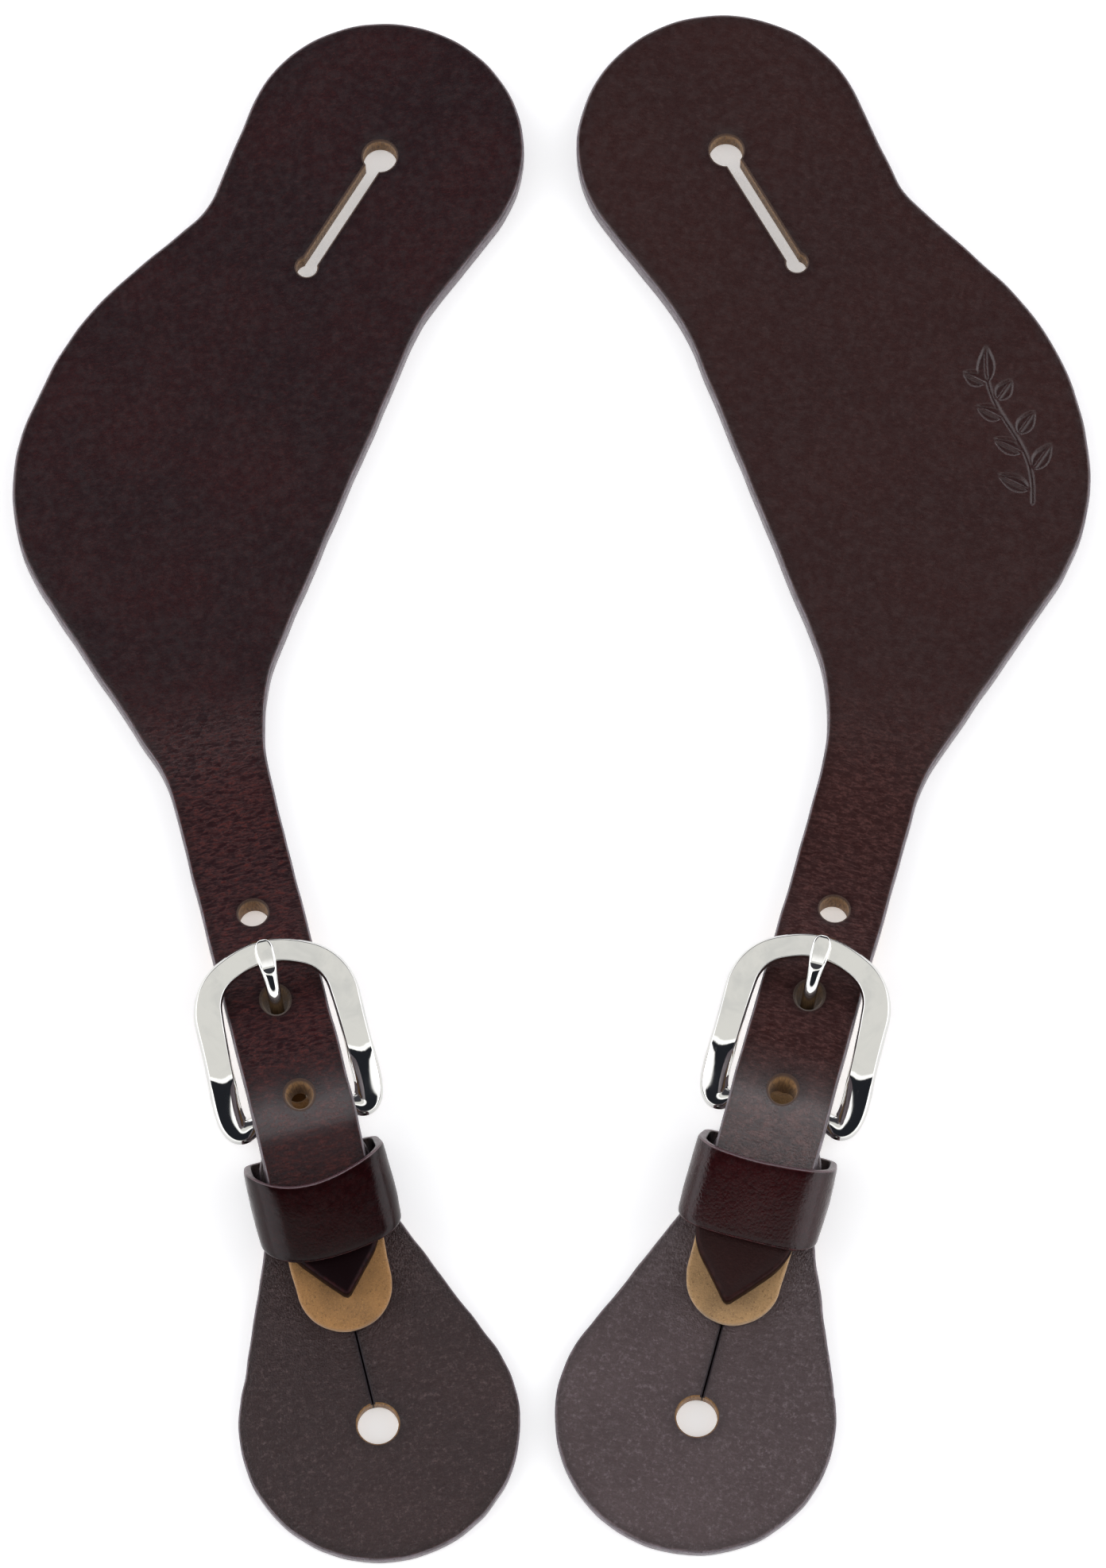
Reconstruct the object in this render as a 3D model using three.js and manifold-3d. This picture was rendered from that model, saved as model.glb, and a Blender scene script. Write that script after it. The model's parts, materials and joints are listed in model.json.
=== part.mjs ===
// A pair of western spur straps, each laid out flat, buckled and ready to take a spur.
//
// Every strap is built in its own frame: the heel bar of the buckle runs along X at y = 0, the boot
// strap goes towards +Y, the button strap towards -Y, and the table is z = 0. Lengths are in mm.

import * as THREE from 'three';
import { mergeVertices } from 'three/addons/utils/BufferGeometryUtils.js';
import Module from 'manifold-3d';

// ---- Driving dimensions ------------------------------------------------------------------------

const GAP = 0.3;                       // clearance between pieces that touch
const CHORD = 2.6;                     // longest facet along a large arc
const WIDEST_FACET = 0.3;              // in radians, on a small arc

// Boot strap: the long piece, with the keyhole in its head and the buckle holes in its billet.
const BOOT_THICKNESS = 4.5;
const BILLET_HALF_WIDTH = 9.3;         // a 3/4 inch strap
const BILLET_POINT_RADIUS = 14;        // curve of the pointed end
const HOLE_PITCH = 19.05;              // 3/4 inch between buckle holes
const HOLE_RADIUS = 2.7;
const TONGUE_HOLE_Y = 20.2;
const TONGUE_HOLE_STRETCH = 1.15;      // the hole in use is pulled long by the tongue
const RISE_START_Y = 58;               // the billet leaves the table here
const BILLET_TOP_Z = 12.0;             // mid thickness of the billet over the heel bar
const TIP_Z = 9.45;                    // mid thickness of the pointed end on the folded tab
const SPLIT_Y = -4.2;                  // the billet bends here when the button strap swings
const KEYHOLE_HEAD = { x: 58.3, y: 183.8, radius: 3.2 };
const KEYHOLE_END = { x: 39.4, y: 164.6, radius: 2.0 };
const KEYHOLE_SLOT_WIDTH = 2.9;

// Button strap: the round piece with the button hole, folded over the heel bar.
const BUTTON_THICKNESS = 3.0;
const BUTTON_HOLE = { y: -59, radius: 3.7 };
const SLIT_WIDTH = 0.5;
const NECK_BASE_Z = 1.4;               // the neck rides on the keeper
const NECK_HALF_WIDTH = 8.7;
const TAB_THICKNESS = 2.2;
const TAB_HALF_WIDTH = 8.6;
const TAB_END_Y = -41.6;
const FOLD_THICKNESS = 2.0;            // skived thinner where it turns round the bar
const TAB_TOP_Z = NECK_BASE_Z + BUTTON_THICKNESS + GAP + TAB_THICKNESS;
const SETTLE_Y = { low: -46, high: -20 };  // the neck comes down from the keeper between these
const STITCH_ROW_X = 6.2;
const STITCH_START_Y = -9.5;
const STITCH_PITCH = 3.4;
const STITCH_COUNT = 4;
const THREAD = 0.7;
const GROOVE_DEPTH = 0.9;

// Buckle: a cast frame with a dropped heel bar, and a wire tongue curled round that bar.
const BAR_RADIUS = 1.7;
const BAR_ROOM = 0.2;                  // slack between the bar and what is curled round it
const BAR_Z = 5.3;
const BAR_STRAIGHT = 9.1;              // half length of the straight part of the heel bar
const ARM_X = 13.1;
const ARM_END_RADIUS = 2.3;
const FRAME_THICKNESS = 2.6;
const FRAME_BEVEL = 0.55;
const FRAME_TILT = THREE.MathUtils.degToRad(10.5);
const RAIL_INNER = { y: 26.9, z: 11.3 };
const TONGUE_RADIUS = 1.2;
const TONGUE_LOOP_RADIUS = BAR_RADIUS + BAR_ROOM + TONGUE_RADIUS;
const TONGUE_SLOT_HALF_WIDTH = TONGUE_RADIUS + 0.6;
const TONGUE_SLOT_Y = { low: -5.6, high: 6 };

// Keeper: a leather loop that leans back over the neck of the button strap.
const KEEPER_THICKNESS = 1.2;
const KEEPER_HALF_WIDTH = 12.7;
const KEEPER_HEIGHT = 13.1;
const KEEPER_EDGE_Y = { bucklesideLow: -5.2, bucklesideHigh: -11.8, farLow: -15.8, farHigh: -27.5 };
const KEEPER_LIFT = 0.3;               // the buckle side of the loop stands higher
const KEEPER_OUTER_RADII = { low: 1.8, high: 3.4 };
const KEEPER_INNER_RADII = { low: 0.6, high: 2 };
const KEEPER_JOINT_GAP = 0.3;          // its two ends butt together under the neck

// Staple: closes the keeper, with its back sunk in the inner face.
const STAPLE = { y: -10.5, halfLength: 4, wire: 0.6, depth: 0.75 };
const STAPLE_ROOM = 0.15;

// Where each strap lies: the heel bar's centre, the turn of the strap and the reach of its parts.
const LEFT = { name: 'left', mirror: false, x: -45.6, y: -66, turn: 13.9, tip: -36.8, shoulder: 0 };
const RIGHT = { name: 'right', mirror: true, x: 41.3, y: -65, turn: 15.2, tip: -39.3, shoulder: 1 };

// ---- Solids ------------------------------------------------------------------------------------

const wasm = await Module();
wasm.setup();

function toSolid(geometry) {
  const bare = geometry.clone();
  bare.deleteAttribute('normal');
  bare.deleteAttribute('uv');
  const merged = mergeVertices(bare, 1e-4);
  return new wasm.Manifold(new wasm.Mesh({
    numProp: 3,
    vertProperties: new Float32Array(merged.attributes.position.array),
    triVerts: new Uint32Array(merged.index.array),
  }));
}

function toGeometry(solid) {
  const mesh = solid.getMesh();
  const geometry = new THREE.BufferGeometry();
  geometry.setAttribute('position', new THREE.BufferAttribute(mesh.vertProperties, 3));
  geometry.setIndex(new THREE.BufferAttribute(mesh.triVerts, 1));
  return geometry;
}

function cut(body, ...cutters) {
  return cutters.reduce((rest, cutter) => rest.subtract(cutter), body);
}

// A closed outline that runs round circles like a belt round pulleys, counter-clockwise. Each
// circle is [x, y, radius]: a negative radius puts it outside the outline, and 0 is a sharp corner.
function beltOutline(circles) {
  const headings = circles.map(([x, y, radius], i) => {
    const [nextX, nextY, nextRadius] = circles[(i + 1) % circles.length];
    const distance = Math.hypot(nextX - x, nextY - y);
    return Math.atan2(nextY - y, nextX - x) - Math.asin((nextRadius - radius) / distance);
  });
  const points = [];
  circles.forEach(([x, y, radius], i) => {
    const before = headings[(i + circles.length - 1) % circles.length];
    const turn = THREE.MathUtils.euclideanModulo(headings[i] - before, 2 * Math.PI);
    const sweep = radius < 0 ? turn - 2 * Math.PI : turn;
    const facets = Math.max(Math.abs(sweep * radius) / CHORD, Math.abs(sweep) / WIDEST_FACET);
    const steps = Math.max(1, Math.ceil(facets));
    for (let k = 0; k <= (radius === 0 ? 0 : steps); k += 1) {
      const angle = before - Math.PI / 2 + (sweep * k) / steps;
      points.push(new THREE.Vector2(x + radius * Math.cos(angle), y + radius * Math.sin(angle)));
    }
  });
  return points;
}

// A plan outline raised from one height to another.
function plate(outline, low, high) {
  const geometry = new THREE.ExtrudeGeometry(new THREE.Shape(outline), {
    depth: high - low,
    bevelEnabled: false,
  });
  geometry.translate(0, 0, low);
  return toSolid(geometry);
}

// A side profile in (y, z), drawn out along X to both sides.
function ribbon(profile, halfWidth) {
  const geometry = new THREE.ExtrudeGeometry(new THREE.Shape(profile), {
    depth: 2 * halfWidth,
    bevelEnabled: false,
  });
  geometry.translate(0, 0, -halfWidth);
  geometry.applyMatrix4(new THREE.Matrix4().makeBasis(
    new THREE.Vector3(0, 1, 0),
    new THREE.Vector3(0, 0, 1),
    new THREE.Vector3(1, 0, 0),
  ));
  return toSolid(geometry);
}

function block(x0, x1, y0, y1, z0, z1) {
  const geometry = new THREE.BoxGeometry(x1 - x0, y1 - y0, z1 - z0);
  geometry.translate((x0 + x1) / 2, (y0 + y1) / 2, (z0 + z1) / 2);
  return toSolid(geometry);
}

// A round punch standing on the table, leaning back by `lean` and longer along Y by `stretch`.
function punch(x, y, z, radius, lean = 0, stretch = 1) {
  const geometry = new THREE.CylinderGeometry(radius, radius, 16, 24);
  geometry.rotateX(Math.PI / 2);
  geometry.scale(1, stretch, 1);
  geometry.rotateX(lean);
  geometry.translate(x, y, z);
  return toSolid(geometry);
}

// A band of even thickness on both sides of a centre line in (y, z).
function bandProfile(centreLine, thickness) {
  const sides = [1, -1].map((side) => centreLine.map((point, i) => {
    const before = centreLine[Math.max(i - 1, 0)];
    const after = centreLine[Math.min(i + 1, centreLine.length - 1)];
    const along = after.clone().sub(before).normalize();
    return new THREE.Vector2(
      point.x - (side * along.y * thickness) / 2,
      point.y + (side * along.x * thickness) / 2,
    );
  }));
  return [...sides[0], ...sides[1].reverse()];
}

// ---- Boot strap --------------------------------------------------------------------------------

// The right strap was cut with a slightly fuller shoulder than the left one.
function bootOutline({ tip, shoulder }) {
  const pointX = BILLET_HALF_WIDTH - BILLET_POINT_RADIUS;
  const pointY = tip + 16;
  return beltOutline([
    [0, tip, 0],
    [pointX, pointY, BILLET_POINT_RADIUS],
    [BILLET_HALF_WIDTH + 45, 65.5, -45],
    [95 - shoulder, 114.5 - 2 * shoulder, -50],
    [59.2, 185 - 0.5 * shoulder, 27 + shoulder],
    [12.5, 193.5 + 3.5 * shoulder, -16.5],
    [32.6 - 2.8 * shoulder, 120.2 + 3 * shoulder, 57.3 - 1.1 * shoulder],
    [14.5 + 2 * shoulder, 124.2 + 2.2 * shoulder, 40.4 + 2.3 * shoulder],
    [-BILLET_HALF_WIDTH - 30, 64, -30],
    [-pointX, pointY, BILLET_POINT_RADIUS],
  ]);
}

// Mid thickness of the boot strap, from the end of its head to past its tip: flat on the table,
// up under the front rail, over the heel bar and down on to the folded end of the button strap.
function bootCentreLine() {
  const rise = new THREE.CubicBezierCurve(
    new THREE.Vector2(RISE_START_Y, BOOT_THICKNESS / 2),
    new THREE.Vector2(33, BOOT_THICKNESS / 2),
    new THREE.Vector2(23, BILLET_TOP_Z),
    new THREE.Vector2(0, BILLET_TOP_Z),
  );
  const fall = new THREE.CubicBezierCurve(
    new THREE.Vector2(0, BILLET_TOP_Z),
    new THREE.Vector2(-6, BILLET_TOP_Z),
    new THREE.Vector2(-8, TIP_Z),
    new THREE.Vector2(-22, TIP_Z),
  );
  return [
    new THREE.Vector2(225, BOOT_THICKNESS / 2),
    new THREE.Vector2(RISE_START_Y + 2, BOOT_THICKNESS / 2),
    ...rise.getPoints(22),
    ...fall.getPoints(10).slice(1),
    new THREE.Vector2(-30, TIP_Z - 0.25),
    new THREE.Vector2(-42, TIP_Z - 1),
  ];
}

function bootLeather(side) {
  const profile = bandProfile(bootCentreLine(), BOOT_THICKNESS);
  return plate(bootOutline(side), -2, 22).intersect(ribbon(profile, 110));
}

function keyholeCutter() {
  const dx = KEYHOLE_HEAD.x - KEYHOLE_END.x;
  const dy = KEYHOLE_HEAD.y - KEYHOLE_END.y;
  const slot = new THREE.BoxGeometry(Math.hypot(dx, dy), KEYHOLE_SLOT_WIDTH, 16);
  slot.rotateZ(Math.atan2(dy, dx));
  slot.translate(KEYHOLE_END.x + dx / 2, KEYHOLE_END.y + dy / 2, 0);
  return toSolid(slot)
    .add(punch(KEYHOLE_HEAD.x, KEYHOLE_HEAD.y, 0, KEYHOLE_HEAD.radius))
    .add(punch(KEYHOLE_END.x, KEYHOLE_END.y, 0, KEYHOLE_END.radius));
}

function bootStrap(side) {
  const slope = (degrees) => -THREE.MathUtils.degToRad(degrees);
  return cut(
    bootLeather(side),
    block(-20, 20, -60, SPLIT_Y, -5, 30),
    keyholeCutter(),
    punch(0, TONGUE_HOLE_Y + HOLE_PITCH, 5.2, HOLE_RADIUS, slope(13)),
    punch(0, TONGUE_HOLE_Y, 10.2, HOLE_RADIUS, slope(15), TONGUE_HOLE_STRETCH),
    punch(0, TONGUE_HOLE_Y - HOLE_PITCH, BILLET_TOP_Z, HOLE_RADIUS),
  );
}

function billetTip(side) {
  return bootLeather(side).intersect(block(-20, 20, -60, SPLIT_Y - GAP, -5, 30));
}

// ---- Button strap ------------------------------------------------------------------------------

function buttonOutline() {
  const neck = NECK_HALF_WIDTH;
  return beltOutline([
    [0.3, -58.8, 25.3],
    [neck + 15.9, -15, -14.2],
    [neck, 8, 0],
    [-neck, 8, 0],
    [-neck - 15.9, -15, -14.2],
  ]);
}

function tabOutline() {
  return beltOutline([
    [0, TAB_END_Y + TAB_HALF_WIDTH, TAB_HALF_WIDTH],
    [TAB_HALF_WIDTH, 8, 0],
    [-TAB_HALF_WIDTH, 8, 0],
  ]);
}

// The way the neck comes down from the keeper to the table, as a shift of height along Y.
function settle(y) {
  return NECK_BASE_Z * THREE.MathUtils.smoothstep(y, SETTLE_Y.low, SETTLE_Y.high);
}

function range(from, to, steps) {
  return Array.from({ length: steps + 1 }, (_, i) => from + ((to - from) * i) / steps);
}

function arcAroundBar(radius, fromDegrees, toDegrees, steps = 14) {
  return range(fromDegrees, toDegrees, steps).map((degrees) => {
    const angle = THREE.MathUtils.degToRad(degrees);
    return new THREE.Vector2(radius * Math.cos(angle), BAR_Z + radius * Math.sin(angle));
  });
}

function buttonBody() {
  const stations = range(SETTLE_Y.low, SETTLE_Y.high, 8);
  const joined = BAR_Z - BAR_RADIUS - BAR_ROOM;
  const profile = [
    new THREE.Vector2(-90, 0),
    ...stations.map((y) => new THREE.Vector2(y, settle(y))),
    new THREE.Vector2(0.5, NECK_BASE_Z + 0.1),
    new THREE.Vector2(0.5, joined - 0.1),
    new THREE.Vector2(-1.5, joined - 0.1),
    new THREE.Vector2(-7, NECK_BASE_Z + BUTTON_THICKNESS),
    ...stations.reverse().map((y) => new THREE.Vector2(y, settle(y) + BUTTON_THICKNESS)),
    new THREE.Vector2(-90, BUTTON_THICKNESS),
  ];
  return plate(buttonOutline(), -2, 12).intersect(ribbon(profile, 40));
}

function foldAndTab() {
  const inner = BAR_RADIUS + BAR_ROOM;
  const outer = inner + FOLD_THICKNESS;
  const stations = range(-50, -20, 8);
  const base = (y) => settle(y) + BUTTON_THICKNESS + GAP;
  const profile = [
    ...arcAroundBar(outer, -90, 90),
    new THREE.Vector2(-2.5, BAR_Z + outer - 0.4),
    new THREE.Vector2(-8, base(-8) + TAB_THICKNESS + 0.15),
    ...[...stations].reverse().map((y) => new THREE.Vector2(y, base(y) + TAB_THICKNESS)),
    ...stations.map((y) => new THREE.Vector2(y, base(y))),
    new THREE.Vector2(-8, base(-8)),
    new THREE.Vector2(-2, BAR_Z + inner - 0.2),
    ...arcAroundBar(inner, 90, -90),
  ];
  return plate(tabOutline(), -2, 14).intersect(ribbon(profile, 20));
}

// Two sunk rows of saddle stitching hold the folded end down on the neck.
function stitchYs() {
  return range(STITCH_START_Y, STITCH_START_Y - STITCH_COUNT * STITCH_PITCH, STITCH_COUNT);
}

function stitchRow(x, width, reach, topZ, bottomZ) {
  const half = width / 2;
  const first = STITCH_START_Y + reach;
  const last = STITCH_START_Y - STITCH_COUNT * STITCH_PITCH - reach;
  const posts = stitchYs().map((y) => (
    block(x - half, x + half, y - half, y + half, bottomZ[0], topZ[1])
  ));
  const runs = [topZ, bottomZ].map(([low, high]) => block(x - half, x + half, last, first, low, high));
  return [...runs, ...posts].reduce((row, piece) => row.add(piece));
}

function stitchGroove(x) {
  const top = [TAB_TOP_Z - GROOVE_DEPTH, TAB_TOP_Z + 1];
  const bottom = [NECK_BASE_Z - 1, NECK_BASE_Z + GROOVE_DEPTH];
  return stitchRow(x, THREAD + 0.5, THREAD, top, bottom);
}

function chapeThread(x) {
  const top = [TAB_TOP_Z - GROOVE_DEPTH + 0.1, TAB_TOP_Z - GROOVE_DEPTH + 0.1 + THREAD];
  const bottom = [NECK_BASE_Z + 0.1, NECK_BASE_Z + 0.1 + THREAD];
  return stitchRow(x, THREAD, THREAD / 2, top, bottom);
}

function buttonStrap() {
  const slitEnd = TAB_END_Y - 1;
  return cut(
    buttonBody().add(foldAndTab()),
    punch(0, BUTTON_HOLE.y, 0, BUTTON_HOLE.radius),
    block(-SLIT_WIDTH / 2, SLIT_WIDTH / 2, BUTTON_HOLE.y, slitEnd, -1, 8),
    block(-TONGUE_SLOT_HALF_WIDTH, TONGUE_SLOT_HALF_WIDTH, TONGUE_SLOT_Y.low, TONGUE_SLOT_Y.high, 0, 12),
    stitchGroove(STITCH_ROW_X),
    stitchGroove(-STITCH_ROW_X),
  );
}

// ---- Buckle ------------------------------------------------------------------------------------

function frameTilt(geometry) {
  geometry.translate(0, -RAIL_INNER.y, 0);
  geometry.rotateX(FRAME_TILT);
  geometry.translate(0, RAIL_INNER.y, RAIL_INNER.z);
  return geometry;
}

// The U of the front rail and both arms, with a bevelled edge all round.
function bezel() {
  const circles = [
    [ARM_X, 5.5, ARM_END_RADIUS],
    [4.2, 19.6, 10.9],
    [0, 15.5, 16.3],
    [-4.2, 19.6, 10.9],
    [-ARM_X, 5.5, ARM_END_RADIUS],
    [-3.7, 19.4, -6.7],
    [0, 15.2, -12],
    [3.7, 19.4, -6.7],
  ];
  const outline = beltOutline(circles.map(([x, y, radius]) => [x, y, radius - FRAME_BEVEL]));
  const geometry = new THREE.ExtrudeGeometry(new THREE.Shape(outline), {
    depth: FRAME_THICKNESS - 2 * FRAME_BEVEL,
    bevelThickness: FRAME_BEVEL,
    bevelSize: FRAME_BEVEL,
    bevelSegments: 1,
  });
  return geometry.translate(0, 0, FRAME_BEVEL);
}

function armHeight(y) {
  return RAIL_INNER.z + FRAME_THICKNESS / 2 - (RAIL_INNER.y - y) * Math.tan(FRAME_TILT);
}

// The heel: a round bar that drops from both arms and crosses under the billet.
function heelCurve() {
  const route = new THREE.CurvePath();
  const arm = (side, y, drop) => new THREE.Vector3(side * ARM_X, y, armHeight(y) - drop);
  const corner = (side) => new THREE.Vector3(side * ARM_X, 0, BAR_Z);
  const foot = (side) => new THREE.Vector3(side * BAR_STRAIGHT, 0, BAR_Z);
  route.add(new THREE.CubicBezierCurve3(arm(-1, 12, 0.3), arm(-1, 6.5, 0.6), corner(-1), foot(-1)));
  route.add(new THREE.LineCurve3(foot(-1), foot(1)));
  route.add(new THREE.CubicBezierCurve3(foot(1), corner(1), arm(1, 6.5, 0.6), arm(1, 12, 0.3)));
  return route;
}

function roundSection(radius, sides) {
  const section = new THREE.Shape();
  section.absarc(0, 0, radius, 0, 2 * Math.PI);
  return new THREE.Shape(section.getSpacedPoints(sides).slice(0, sides));
}

function tube(curve, radius, sides, steps) {
  return toSolid(new THREE.ExtrudeGeometry(roundSection(radius, sides), {
    steps,
    extrudePath: curve,
    bevelEnabled: false,
  }));
}

function buckleFrame() {
  return toSolid(frameTilt(bezel())).add(tube(heelCurve(), BAR_RADIUS, 10, 28));
}

// The wire curls round the bar, runs forward under the billet, comes up through its hole and
// lies over the front rail.
function buckleTongue() {
  const railTop = armHeight(30) + FRAME_THICKNESS / 2 + TONGUE_RADIUS + 0.35;
  const curl = range(40, 270, 9).map((degrees) => {
    const angle = THREE.MathUtils.degToRad(degrees);
    return [TONGUE_LOOP_RADIUS * Math.cos(angle), BAR_Z + TONGUE_LOOP_RADIUS * Math.sin(angle)];
  });
  const reach = [
    [5, 2.4], [11, 3.2], [16, 5.2], [18.6, 7.8], [20.2, 10.8], [21.8, 13.3], [24.6, 14.8],
    [28, railTop], [31.6, railTop + 0.5],
  ];
  const points = [...curl, ...reach].map(([y, z]) => new THREE.Vector3(0, y, z));
  return tube(new THREE.CatmullRomCurve3(points), TONGUE_RADIUS, 8, 46);
}

// ---- Keeper ------------------------------------------------------------------------------------

function roundedRectangle(halfWidth, low, high, lowRadius, highRadius) {
  return beltOutline([
    [halfWidth - lowRadius, low + lowRadius, lowRadius],
    [halfWidth - highRadius, high - highRadius, highRadius],
    [-halfWidth + highRadius, high - highRadius, highRadius],
    [-halfWidth + lowRadius, low + lowRadius, lowRadius],
  ]);
}

// Leans the straight loop back and lifts its buckle side: `share` runs from 0 at that side to 1
// at the far edge.
function leanKeeper(geometry) {
  const place = geometry.attributes.position;
  const edges = KEEPER_EDGE_Y;
  for (let i = 0; i < place.count; i += 1) {
    const share = -place.getY(i);
    const rise = place.getZ(i) / KEEPER_HEIGHT;
    const near = THREE.MathUtils.lerp(edges.bucklesideLow, edges.bucklesideHigh, rise);
    const far = THREE.MathUtils.lerp(edges.farLow, edges.farHigh, rise);
    const lift = rise > 0.5 ? KEEPER_LIFT * (1 - share) * (rise - 0.5) : 0;
    place.setY(i, THREE.MathUtils.lerp(near, far, share));
    place.setZ(i, place.getZ(i) + KEEPER_HEIGHT * lift);
  }
  return geometry;
}

function keeperBand() {
  const inner = KEEPER_HALF_WIDTH - KEEPER_THICKNESS;
  const outer = KEEPER_OUTER_RADII;
  const shape = new THREE.Shape(
    roundedRectangle(KEEPER_HALF_WIDTH, 0, KEEPER_HEIGHT, outer.low, outer.high),
  );
  const ceiling = KEEPER_HEIGHT - KEEPER_THICKNESS;
  const { low, high } = KEEPER_INNER_RADII;
  const hollow = roundedRectangle(inner, KEEPER_THICKNESS, ceiling, low, high);
  shape.holes.push(new THREE.Path(hollow.reverse()));
  const geometry = new THREE.ExtrudeGeometry(shape, { depth: 1, steps: 4, bevelEnabled: false });
  return leanKeeper(geometry.rotateX(Math.PI / 2));
}

function keeper() {
  const { y, halfLength, wire, depth } = STAPLE;
  const room = wire / 2 + STAPLE_ROOM;
  const reach = halfLength + STAPLE_ROOM;
  const joint = KEEPER_JOINT_GAP / 2;
  const legs = [-1, 1].map((side) => {
    const x = side * (halfLength - wire / 2);
    return block(x - room, x + room, y - room, y + room, -1, 1);
  });
  return cut(
    toSolid(keeperBand()),
    block(-joint, joint, -30, 0, -1, KEEPER_THICKNESS + 0.1),
    block(-reach, reach, y - room, y + room, KEEPER_THICKNESS - depth, KEEPER_THICKNESS + 0.05),
    ...legs,
  );
}

// The staple that closes the loop: its back lies sunk inside and its legs go down through.
function keeperStaple() {
  const { y, halfLength, wire, depth } = STAPLE;
  const half = wire / 2;
  const back = KEEPER_THICKNESS - depth + 0.1;
  const legs = [-1, 1].map((side) => {
    const x = side * (halfLength - half);
    return block(x - half, x + half, y - half, y + half, STAPLE_ROOM, back + 0.1);
  });
  return legs.reduce(
    (staple, leg) => staple.add(leg),
    block(-halfLength, halfLength, y - half, y + half, back, back + wire),
  );
}

// ---- Materials and assembly --------------------------------------------------------------------

const finish = (color, roughness, metalness) => () => new THREE.MeshStandardMaterial({
  color,
  roughness,
  metalness,
});
const darkLeather = finish(0x33211f, 0.5, 0);
const buttonLeather = finish(0x3d2e2c, 0.45, 0);
const keeperLeather = finish(0x3a1618, 0.3, 0);
const nickel = finish(0xdcdcd4, 0.15, 1);
const steelWire = finish(0xb8b8b4, 0.35, 1);
const linenThread = finish(0x4a2c22, 0.8, 0);

// The mirror image across X = 0, with its faces still pointing out.
function mirrored(geometry) {
  geometry.scale(-1, 1, 1);
  const corners = geometry.index.array;
  for (let i = 0; i < corners.length; i += 3) {
    [corners[i], corners[i + 1]] = [corners[i + 1], corners[i]];
  }
  return geometry;
}

function place(side, name, solid, material) {
  const geometry = toGeometry(solid);
  const mesh = new THREE.Mesh(side.mirror ? mirrored(geometry) : geometry, material());
  mesh.name = `${side.name}_${name}`;
  return mesh;
}

function buildStrap(side) {
  const strap = new THREE.Group();
  strap.add(
    place(side, 'boot_strap', bootStrap(side), darkLeather),
    place(side, 'billet_tip', billetTip(side), darkLeather),
    place(side, 'button_strap', buttonStrap(), buttonLeather),
    place(side, 'chape_thread_inner', chapeThread(STITCH_ROW_X), linenThread),
    place(side, 'chape_thread_outer', chapeThread(-STITCH_ROW_X), linenThread),
    place(side, 'buckle_frame', buckleFrame(), nickel),
    place(side, 'buckle_tongue', buckleTongue(), nickel),
    place(side, 'keeper', keeper(), keeperLeather),
    place(side, 'keeper_staple', keeperStaple(), steelWire),
  );
  strap.position.set(side.x, side.y, 0);
  strap.rotation.z = THREE.MathUtils.degToRad(side.mirror ? -side.turn : side.turn);
  return strap;
}

// The pair stands on z = 0 with the origin under the middle of its box.
const pair = new THREE.Group();
pair.add(buildStrap(LEFT), buildStrap(RIGHT));
const middle = new THREE.Box3().setFromObject(pair, true).getCenter(new THREE.Vector3());
pair.position.set(-middle.x, -middle.y, 0);

export default pair;
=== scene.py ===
"""The looks of a pair of western spur straps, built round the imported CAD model.

Each strap is shaped in its own frame, in millimetres: the buckle's heel bar runs along x at y = 0, the
boot strap goes towards +y, the button strap towards -y, and the table is z = 0. A piece is put into the
model's frame, in metres, when its mesh is made.
"""

import json
import math

import bpy
import numpy as np
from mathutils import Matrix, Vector, geometry


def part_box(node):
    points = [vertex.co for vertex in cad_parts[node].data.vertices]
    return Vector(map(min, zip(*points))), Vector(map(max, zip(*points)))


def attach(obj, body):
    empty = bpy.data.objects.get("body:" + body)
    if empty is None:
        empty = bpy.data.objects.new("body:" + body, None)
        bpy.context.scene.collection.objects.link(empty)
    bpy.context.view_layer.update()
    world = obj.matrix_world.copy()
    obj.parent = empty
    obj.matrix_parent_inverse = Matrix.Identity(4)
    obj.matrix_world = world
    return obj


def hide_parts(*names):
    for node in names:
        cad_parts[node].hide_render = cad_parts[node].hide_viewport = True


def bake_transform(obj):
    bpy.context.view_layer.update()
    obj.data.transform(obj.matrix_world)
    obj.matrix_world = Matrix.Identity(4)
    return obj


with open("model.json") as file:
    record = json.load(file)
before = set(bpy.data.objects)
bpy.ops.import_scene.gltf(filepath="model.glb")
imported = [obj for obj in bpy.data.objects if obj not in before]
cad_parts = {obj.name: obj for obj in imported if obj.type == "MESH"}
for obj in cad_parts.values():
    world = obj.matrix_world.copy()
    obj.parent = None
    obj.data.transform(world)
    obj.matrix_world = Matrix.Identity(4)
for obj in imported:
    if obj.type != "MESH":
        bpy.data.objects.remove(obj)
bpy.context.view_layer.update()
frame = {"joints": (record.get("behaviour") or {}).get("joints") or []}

MM = 0.001

# ---- Sizes, in millimetres, as the CAD model has them -------------------------------------------

BOOT_THICKNESS = 4.5
BILLET_HALF_WIDTH = 9.3
BILLET_POINT_RADIUS = 14.0
HOLE_PITCH = 19.05
HOLE_RADIUS = 2.7
TONGUE_HOLE_Y = 20.2
TONGUE_HOLE_STRETCH = 1.15
RISE_START_Y = 58.0
BILLET_TOP_Z = 12.0
TIP_Z = 9.45
KEYHOLE_HEAD = (58.3, 183.8, 3.2)
KEYHOLE_END = (39.4, 164.6, 2.0)
KEYHOLE_SLOT_WIDTH = 2.9

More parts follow.
